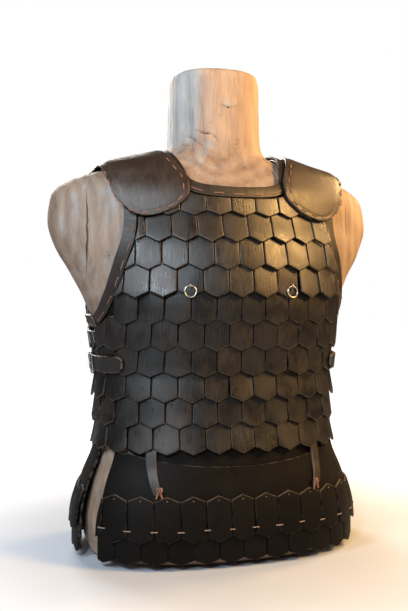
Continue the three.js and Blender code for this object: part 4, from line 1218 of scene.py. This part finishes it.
def shoulder_pad(side, name):
    s = spread(80, 26)
    turns = spread(260, 90)
    shares = np.sin(math.pi / 2 * (2 * turns - 1))
    s, shares = np.meshgrid(s, shares, indexing="ij")
    out = abs(shares)
    x = side * lerp(pad_inner(out), pad_outer(out), s)
    tilt = shares * PAD_END_TILT
    lift = pad_lift(out) - 4.2 * smoothstep(s, 0.86, 1) * (1 - smoothstep(out, 0.15, 0.5))
    under = on_shoulder(x, tilt, lift)
    rim = np.concatenate([under[0], under[:, -1], under[-1, ::-1], under[::-1, 0]])
    edge = polyline_distance(under, rim[::3])[0]
    phase = 2.1 * side
    wave = 0.5 + 0.28 * np.sin(x / 17 + phase) * np.sin(tilt / 11) + 0.22 * np.sin(tilt / 7 + x / 29 + phase)
    swell = 0.9 * wave * smoothstep(edge, 1, 14)
    groove = 0.5 * np.exp(-((edge - 5.5) / 1.3) ** 2)
    outer = on_shoulder(x, tilt, lift + PAD_THICK - rounded(edge, 1.2) + swell - groove)
    place = np.stack([x, tilt * 2.1, np.full(x.shape, 40.0 + side)], -1)
    body = turned_out(slab(outer, under, edge, 0.5, place))
    leather_piece(f"shoulder_pad_{name}", body, pad_leather)


def skirt_panel(is_back):
    def at(s, t, lift):
        low, high = skirt_edges(SKIRT_TOP["centre"], is_back)
        rough = lerp(low, high, s)
        top = SKIRT_TOP["centre"] + SKIRT_TOP["rise"] * (rough / SKIRT_TOP["reach"]) ** 2
        z = lerp(SKIRT_PANEL_FOOT, np.minimum(SKIRT_TOP["most"], top), t)
        start, end = skirt_edges(np.maximum(z, SKIRT_STRAIGHT), is_back)
        arc = lerp(start, end, s)
        rise = skirt_lift(arc, np.maximum(z, SKIRT_STRAIGHT), is_back)
        return on_skirt(arc, z, rise + lift, is_back)

    body = shell(420, 122, 90, 30, at, SKIRT_PANEL_THICK, 0.3, 31 + is_back, 0.8, wave=1.4)
    leather_piece(f"skirt_panel_{facade(is_back)}", body, skirt_leather)


def hanger_bow(z):
    """How far a hanger's middle swings towards the body's middle at a height."""
    down = (HANGER_PATH[-1][0] - z) / (HANGER_PATH[-1][0] - HANGER_PATH[0][0])
    return 5.5 * down ** 3 - 2.2 * np.sin(math.pi * down)


def hanger(is_back, side, name):
    lift_at = smooth_table(HANGER_PATH)
    on = on_back if is_back else on_front

    def at(s, t, lift):
        z = lerp(HANGER_PATH[0][0], HANGER_PATH[-1][0], t)
        bow = hanger_bow(z)
        wide = HANGER_WIDTH * (1 - 0.3 * (1 - t) ** 2)
        return on(side * (HANGER_ARC - bow) + (s - 0.5) * wide, z, lift_at(z) + lift)

    body = shell(HANGER_WIDTH, 72, 5, 36, at, HANGER_THICK, 0.4, 51 + side + 3 * is_back, 0.8, wave=0.5)
    inner = side * (body["place"][:, 0] - HANGER_WIDTH / 2) < 0
    body["edge"] = np.where(inner & (body["edge"] < 1), body["edge"] - 2, body["edge"])
    leather_piece(f"hanger_{facade(is_back)}_{name}", body, binding_leather)


def waist_strap(where, side, name):
    start, end = WAIST_STRAP_SPANS[where]

    long, middle = end - start, (WAIST_STRAP["low"] + WAIST_STRAP["high"]) / 2
    tall = WAIST_STRAP["high"] - WAIST_STRAP["low"]

    def at(s, t, lift):
        arc = side * lerp(start, end, s)
        cut = 1 - np.sqrt(1 - np.clip(1 - s * long / STRAP_END_ROUND, 0, 0.95) ** 2)
        wide = tall * (1 - 0.75 * cut * (where == "front")) + 0.8 * np.sin(7.3 * s + side)
        crease = 0.0
        for along, slant, half, depth in STRAP_CREASES:
            crease = crease + depth * np.exp(-((s * long - along - slant * t) / half) ** 2)
        return on_front(arc, middle + (t - 0.5) * wide, WAIST_STRAP["lift"] + lift - crease * (lift > 0))

    body = shell(long, tall, 44, 12, at, WAIST_STRAP["thick"], 0.3, 61 + side, 0.9, wave=1.5)
    leather_piece(f"waist_strap_{where}_{name}", body, strap_leather)


# Steel

BUCKLE_CORNER = 3.5
BUCKLE_STEP = 1.5
PRONG_STEPS = 15
PRONG_CROWN = 0.25
RING_STEPS = 56


def seat(arc, z):
    """A place on the front, and the directions level along the leather, up it and out of it."""
    base = on_front(arc, z, 0.0)
    out = outward(base)
    level = np.array([-out[1], out[0], 0])
    level /= np.linalg.norm(level)
    return base, np.stack([level, np.cross(out, level), out])


def seated(points, arc, z, lift):
    base, axes = seat(arc, z)
    return base + axes[2] * lift + np.asarray(points, float) @ axes


def facing(direction, count, arc, z):
    return np.tile(direction, (count, 1)) @ seat(arc, z)[1]


def buckle(side, name):
    arc, z = side * BUCKLE["arc"], BUCKLE["height"]
    bar = BUCKLE["bar"] / 2
    half_wide, half_tall = BUCKLE["wide"] / 2 - bar, BUCKLE["tall"] / 2 - bar
    path = []
    for cx, cy, start in ((1, 1, 0), (-1, 1, 90), (-1, -1, 180), (1, -1, 270)):
        for turn in np.radians(start + np.linspace(0, 90, 8)):
            path.append((
                cx * (half_wide - BUCKLE_CORNER) + BUCKLE_CORNER * math.cos(turn),
                cy * (half_tall - BUCKLE_CORNER) + BUCKLE_CORNER * math.sin(turn), BUCKLE["thick"] / 2,
            ))
    path = np.array(path)
    ends = np.linalg.norm(np.roll(path, -1, axis=0) - path, axis=1)
    fine = []
    for n, length in enumerate(ends):
        steps = max(1, int(length / BUCKLE_STEP))
        for k in range(steps):
            fine.append(lerp(path[n], path[(n + 1) % len(path)], k / steps))
    fine = np.array(fine)
    normals = facing([0, 0, 1.0], len(fine), arc, z)
    frame_bar = tube(
        seated(fine, arc, z, BUCKLE["lift"]), (bar, BUCKLE["thick"] / 2), normals, 12, closed=True,
    )
    piece(
        f"buckle_frame_{name}_steel", [turned_out(frame_bar)], steel,
        [f"buckle_frame_{name}"],
    )
    half = PRONG["length"] / 2
    xs = np.linspace(-half, half, PRONG_STEPS)
    line = np.stack([xs, 0 * xs, PRONG_CROWN * np.sin(np.linspace(0, math.pi, PRONG_STEPS))], -1)
    widths = np.full((PRONG_STEPS, 2), PRONG["radius"] * 0.95)
    widths[:2] *= [[0.45], [0.85]]
    widths[-2:] *= [[0.85], [0.45]]
    normals = facing([0, 0, 1.0], PRONG_STEPS, arc, z)
    pin = tube(seated(line, arc, z, PRONG["lift"]), widths, normals, 12)
    piece(f"buckle_prong_{name}_steel", [turned_out(pin)], steel, [f"buckle_prong_{name}"])


def ring(side, name):
    arc, z, lift = side * RING["arc"], RING["top"], RING["lift"]
    turns = 2 * np.pi * np.arange(RING_STEPS) / RING_STEPS
    lean = RING["lean"]
    flat = RING["radius"] * np.stack([np.sin(turns), np.cos(turns) - 1, 0 * turns], -1)
    tilt = np.array([[1, 0, 0], [0, math.cos(lean), -math.sin(lean)], [0, math.sin(lean), math.cos(lean)]])
    flat = flat @ tilt
    normals = facing([0, 0, 1.0] @ tilt, RING_STEPS, arc, z)
    wire = tube(seated(flat, arc, z, lift), (RING["wire"], RING["wire"]), normals, 14, closed=True)
    piece(f"ring_{name}_steel", [turned_out(wire)], steel, [f"ring_{name}"], f"ring_{name}")
    half, leg = STAPLE["half"], STAPLE["leg"]
    turns = np.linspace(0, math.pi, 13)
    arch = [(0, -half, -leg), (0, -half, -leg / 2)]
    arch += [(0, -half * math.cos(a), half * math.sin(a)) for a in turns]
    arch += [(0, half, -leg / 2), (0, half, -leg)]
    normals = facing([1.0, 0, 0], len(arch), arc, z)
    bow = tube(seated(arch, arc, z, lift), (STAPLE["wire"], STAPLE["wire"]), normals, 12)
    piece(f"ring_staple_{name}_steel", [turned_out(bow)], steel, [f"ring_staple_{name}"])


# Thong stitches, knots and rivets

PAD_SEAM_INSET = 5.5
PAD_SEAM_SPAN = (0.42, 1.0)
STITCH_LIFTS = (-1.3, -0.2, 0.55, 0.75, 0.8, 0.8, 0.75, 0.55, -0.2, -1.3)


def stitch(at, start, end, wide=0.85, high=0.5, tone=0.5):
    """A flat thong along a path: at(shares, lift) gives points, and both ends dive in."""
    u = lerp(start, end, np.array([0, 0.02, 0.1, 0.22, 0.4, 0.6, 0.78, 0.9, 0.98, 1.0]))
    lifts = np.array(STITCH_LIFTS)
    centres = at(u, lifts)
    normals = at(u, lifts + 1) - centres
    return tube(centres, (wide, high), normals, 8, tone)


def dashes(at, length, dash, gap, seed, margin=6, **size):
    """Stitches along a path of a length, a little uneven."""
    rng = np.random.default_rng(seed)
    count = max(1, int((length - 2 * margin + gap) / (dash + gap)))
    step = (length - 2 * margin + gap) / count
    parts = []
    for k in range(count):
        middle = margin + (k + 0.5) * step - gap / 2 + rng.uniform(-0.8, 0.8)
        half = dash / 2 * rng.uniform(0.88, 1.1)
        tone = rng.uniform(0, 0.5)
        parts.append(stitch(at, (middle - half) / length, (middle + half) / length, tone=tone, **size))
    return parts


def path_along(points):
    """Shares of the length of a line of corners, as a function of share."""
    points = np.asarray(points, float)
    length = np.concatenate([[0], np.cumsum(np.linalg.norm(np.diff(points, axis=0), axis=1))])

    def at(share):
        u = np.asarray(share) * length[-1]
        return np.stack([np.interp(u, length, points[:, c]) for c in range(points.shape[1])], -1)

    return at, length[-1]


def pad_seam(side, lobe):
    """The stitched line inside the rim of a pad's lobe, by share of its length."""
    shares = np.concatenate([np.linspace(*PAD_SEAM_SPAN, 90), np.linspace(*PAD_SEAM_SPAN[::-1], 90)])
    x = np.where(np.arange(180) >= 90, pad_outer(shares), pad_inner(shares))
    rim = on_shoulder(x, lobe * shares * PAD_END_TILT, pad_lift(shares))
    along = np.gradient(rim, axis=0)
    along /= np.maximum(np.linalg.norm(along, axis=1, keepdims=True), 1e-6)
    inward = np.cross(along, outward(rim))
    middle = on_shoulder(np.full(1, 118.0), np.full(1, lobe * 50.0), np.zeros(1))[0]
    if np.sum(inward * (middle - rim)) < 0:
        inward = -inward
    inset = rim + inward * PAD_SEAM_INSET
    inset = inset[polyline_distance(inset, rim)[0] > PAD_SEAM_INSET * 0.92]
    tilts = np.degrees(np.arctan2(-inset[:, 1], inset[:, 2] - SHOULDER_PIVOT_HEIGHT))
    curve = path_along(np.stack([inset[:, 0], tilts], -1))[0](np.linspace(0, 1, 160))
    solid = on_shoulder(curve[:, 0], curve[:, 1], pad_lift(abs(curve[:, 1]) / PAD_END_TILT))
    length = np.concatenate([[0], np.cumsum(np.linalg.norm(np.diff(solid, axis=0), axis=1))])

    def seam(share, lift):
        u = np.asarray(share) * length[-1]
        x = np.interp(u, length, curve[:, 0])
        tilt = np.interp(u, length, curve[:, 1])
        rise = pad_lift(abs(tilt) / PAD_END_TILT) + PAD_THICK + lift
        return on_shoulder(side * x, tilt, rise)

    return seam, length[-1]


def rivet(middle, normal, size=1.7):
    """A low dome on the leather."""
    normal = normal / np.linalg.norm(normal)
    side = np.cross(normal, [0, 0, 1.0])
    side /= np.linalg.norm(side)
    up = np.cross(side, normal)
    turns = 2 * np.pi * np.arange(14) / 14
    rings = []
    for radius, height in ((1.0, -0.6), (1.0, 0.15), (0.88, 0.42), (0.6, 0.62), (0.25, 0.72)):
        ring_points = np.cos(turns)[:, None] * side + np.sin(turns)[:, None] * up
        rings.append(middle + normal * height * size + ring_points * radius * size)
    points = np.concatenate(rings)
    faces = []
    for i in range(4):
        for j in range(14):
            a, b = i * 14 + j, i * 14 + (j + 1) % 14
            faces.append([a, b, b + 14, a + 14])
    faces += [list(range(13, -1, -1)), list(range(56, 70))]
    return turned_out(part(points, faces))


def knot(middle, normal, tone=0.15):
    """A tied thong: two crossing loops and two short ends."""
    normal = normal / np.linalg.norm(normal)
    side = np.cross([0, 0, 1.0], normal)
    side /= np.linalg.norm(side)
    up = np.cross(normal, side)
    turns = np.linspace(0, 2 * math.pi, 40, endpoint=False)
    loop = np.stack([3.2 * np.sin(turns), 2.6 * np.sin(2 * turns), 1.5 + 1.0 * np.cos(3 * turns)], -1)
    basis = np.stack([side, up, normal])
    centres = middle + loop @ basis
    parts = [turned_out(tube(centres, (1.3, 0.9), np.tile(normal, (40, 1)), 8, tone, closed=True))]
    for sign in (-1, 1):
        fall = np.linspace(0, 1, 10)
        tail = np.stack([sign * (1.0 + 3.2 * fall), -1.5 - 9.5 * fall, 1.6 - 0.9 * fall], -1)
        parts.append(turned_out(tube(middle + tail @ basis, (1.3, 0.7), np.tile(normal, (10, 1)), 8, tone)))
    return parts


def stitches():
    for side, name in ((-1, "right"), (1, "left")):
        parts = []
        for lobe in (-1, 1):
            seam, length = pad_seam(side, lobe)
            parts += same_way(dashes(seam, length, 9, 8, 300 + side + 2 * lobe))
        piece(f"pad_stitches_{name}", parts, thong, [])
        for is_back, where in ((False, "front"), (True, "back")):
            length = band_path(is_back)[1]
            lay = BASE_OUTER + LAY + BAND_THICK
            parts = dashes(
                lambda u, lift: band_point(is_back, side, u, 13.2, lay + lift),
                length, 12.5, 8, 320 + side + 5 * is_back,
            )
            piece(f"armhole_stitches_{where}_{name}", same_way(parts), thong, [])
    for is_back, where in ((False, "front"), (True, "back")):
        lay = BASE_OUTER + NECK_LAY + BAND_THICK
        half = 80
        parts = dashes(
            lambda u, lift: neck_point(lerp(-half, half, u), 0.28, lay + lift, is_back),
            260, 11.5, 10.5, 340 + is_back,
        )
        piece(f"neck_stitches_{where}", same_way(parts), thong, [])
        skirt_stitches(is_back, where)


STITCH_HEIGHT = 53


def skirt_stitches(is_back, where):
    """A thong across each joint of the long plates, and a rivet under each plate's peak."""
    size = LONG_PLATES
    highest = size["top"] + size["peak"]
    low, high = (float(e) for e in skirt_edges(STITCH_HEIGHT, is_back))

    def outer(arc, z, lift):
        return on_skirt(arc, z, plate_lift(size, arc, z, is_back) + PLATE_THICK + lift, is_back)

    rng = np.random.default_rng(360 + is_back)
    threads, rivets = [], []
    for k in range(math.ceil(low / size["width"]) - 1, math.floor(high / size["width"]) + 2):
        joint = (k + 0.5) * size["width"]
        if low + 8 < joint < high - 8:
            half = rng.uniform(3.8, 5)
            shift = rng.uniform(-1, 1)
            threads.append(stitch(
                lambda u, lift: outer(u, np.full(np.shape(u), STITCH_HEIGHT + shift), lift),
                joint - half, joint + half, tone=rng.uniform(0.75, 1.0),
            ))
        middle = k * size["width"]
        if low + 5 < middle < high - 5:
            spot = outer(np.float64(middle), np.float64(highest - 6), 0.1)
            ahead = outer(np.float64(middle), np.float64(highest - 6), 1.1)
            rivets.append(rivet(spot, ahead - spot, 1.3))
    piece(f"skirt_stitches_{where}", same_way(threads), thong, [])
    piece(f"skirt_rivets_{where}", rivets, dull_steel, [])


def hanger_knots():
    lift_at = smooth_table(HANGER_PATH)
    parts = []
    for is_back in (False, True):
        on = on_back if is_back else on_front
        for side in (-1, 1):
            z = 103.0
            arc = np.float64(side * (HANGER_ARC - hanger_bow(z) - 4))
            spot = on(arc, np.float64(z), lift_at(z) + HANGER_THICK)
            ahead = on(arc, np.float64(z), lift_at(z) + HANGER_THICK + 1)
            parts += knot(spot, ahead - spot)
    piece("hanger_knots", parts, thong, [])


place_camera()
studio()
floor()
torso()
for is_back in (False, True):
    base_panel(is_back)
    neck_band(is_back)
    for number in range(0 if is_back else 1, FULL_ROWS + 1):
        scale_row(is_back, number)
    skirt_panel(is_back)
    skirt_plates(is_back, SHORT_PLATES, "short", 401)
    skirt_plates(is_back, LONG_PLATES, "long", 431)
for side, name in ((-1, "right"), (1, "left")):
    shoulder_strap(side, name)
    shoulder_pad(side, name)
    for is_back in (False, True):
        armhole_band(is_back, side, name)
        hanger(is_back, side, name)
    for where in WAIST_STRAP_SPANS:
        waist_strap(where, side, name)
    buckle(side, name)
    ring(side, name)
stitches()
hanger_knots()
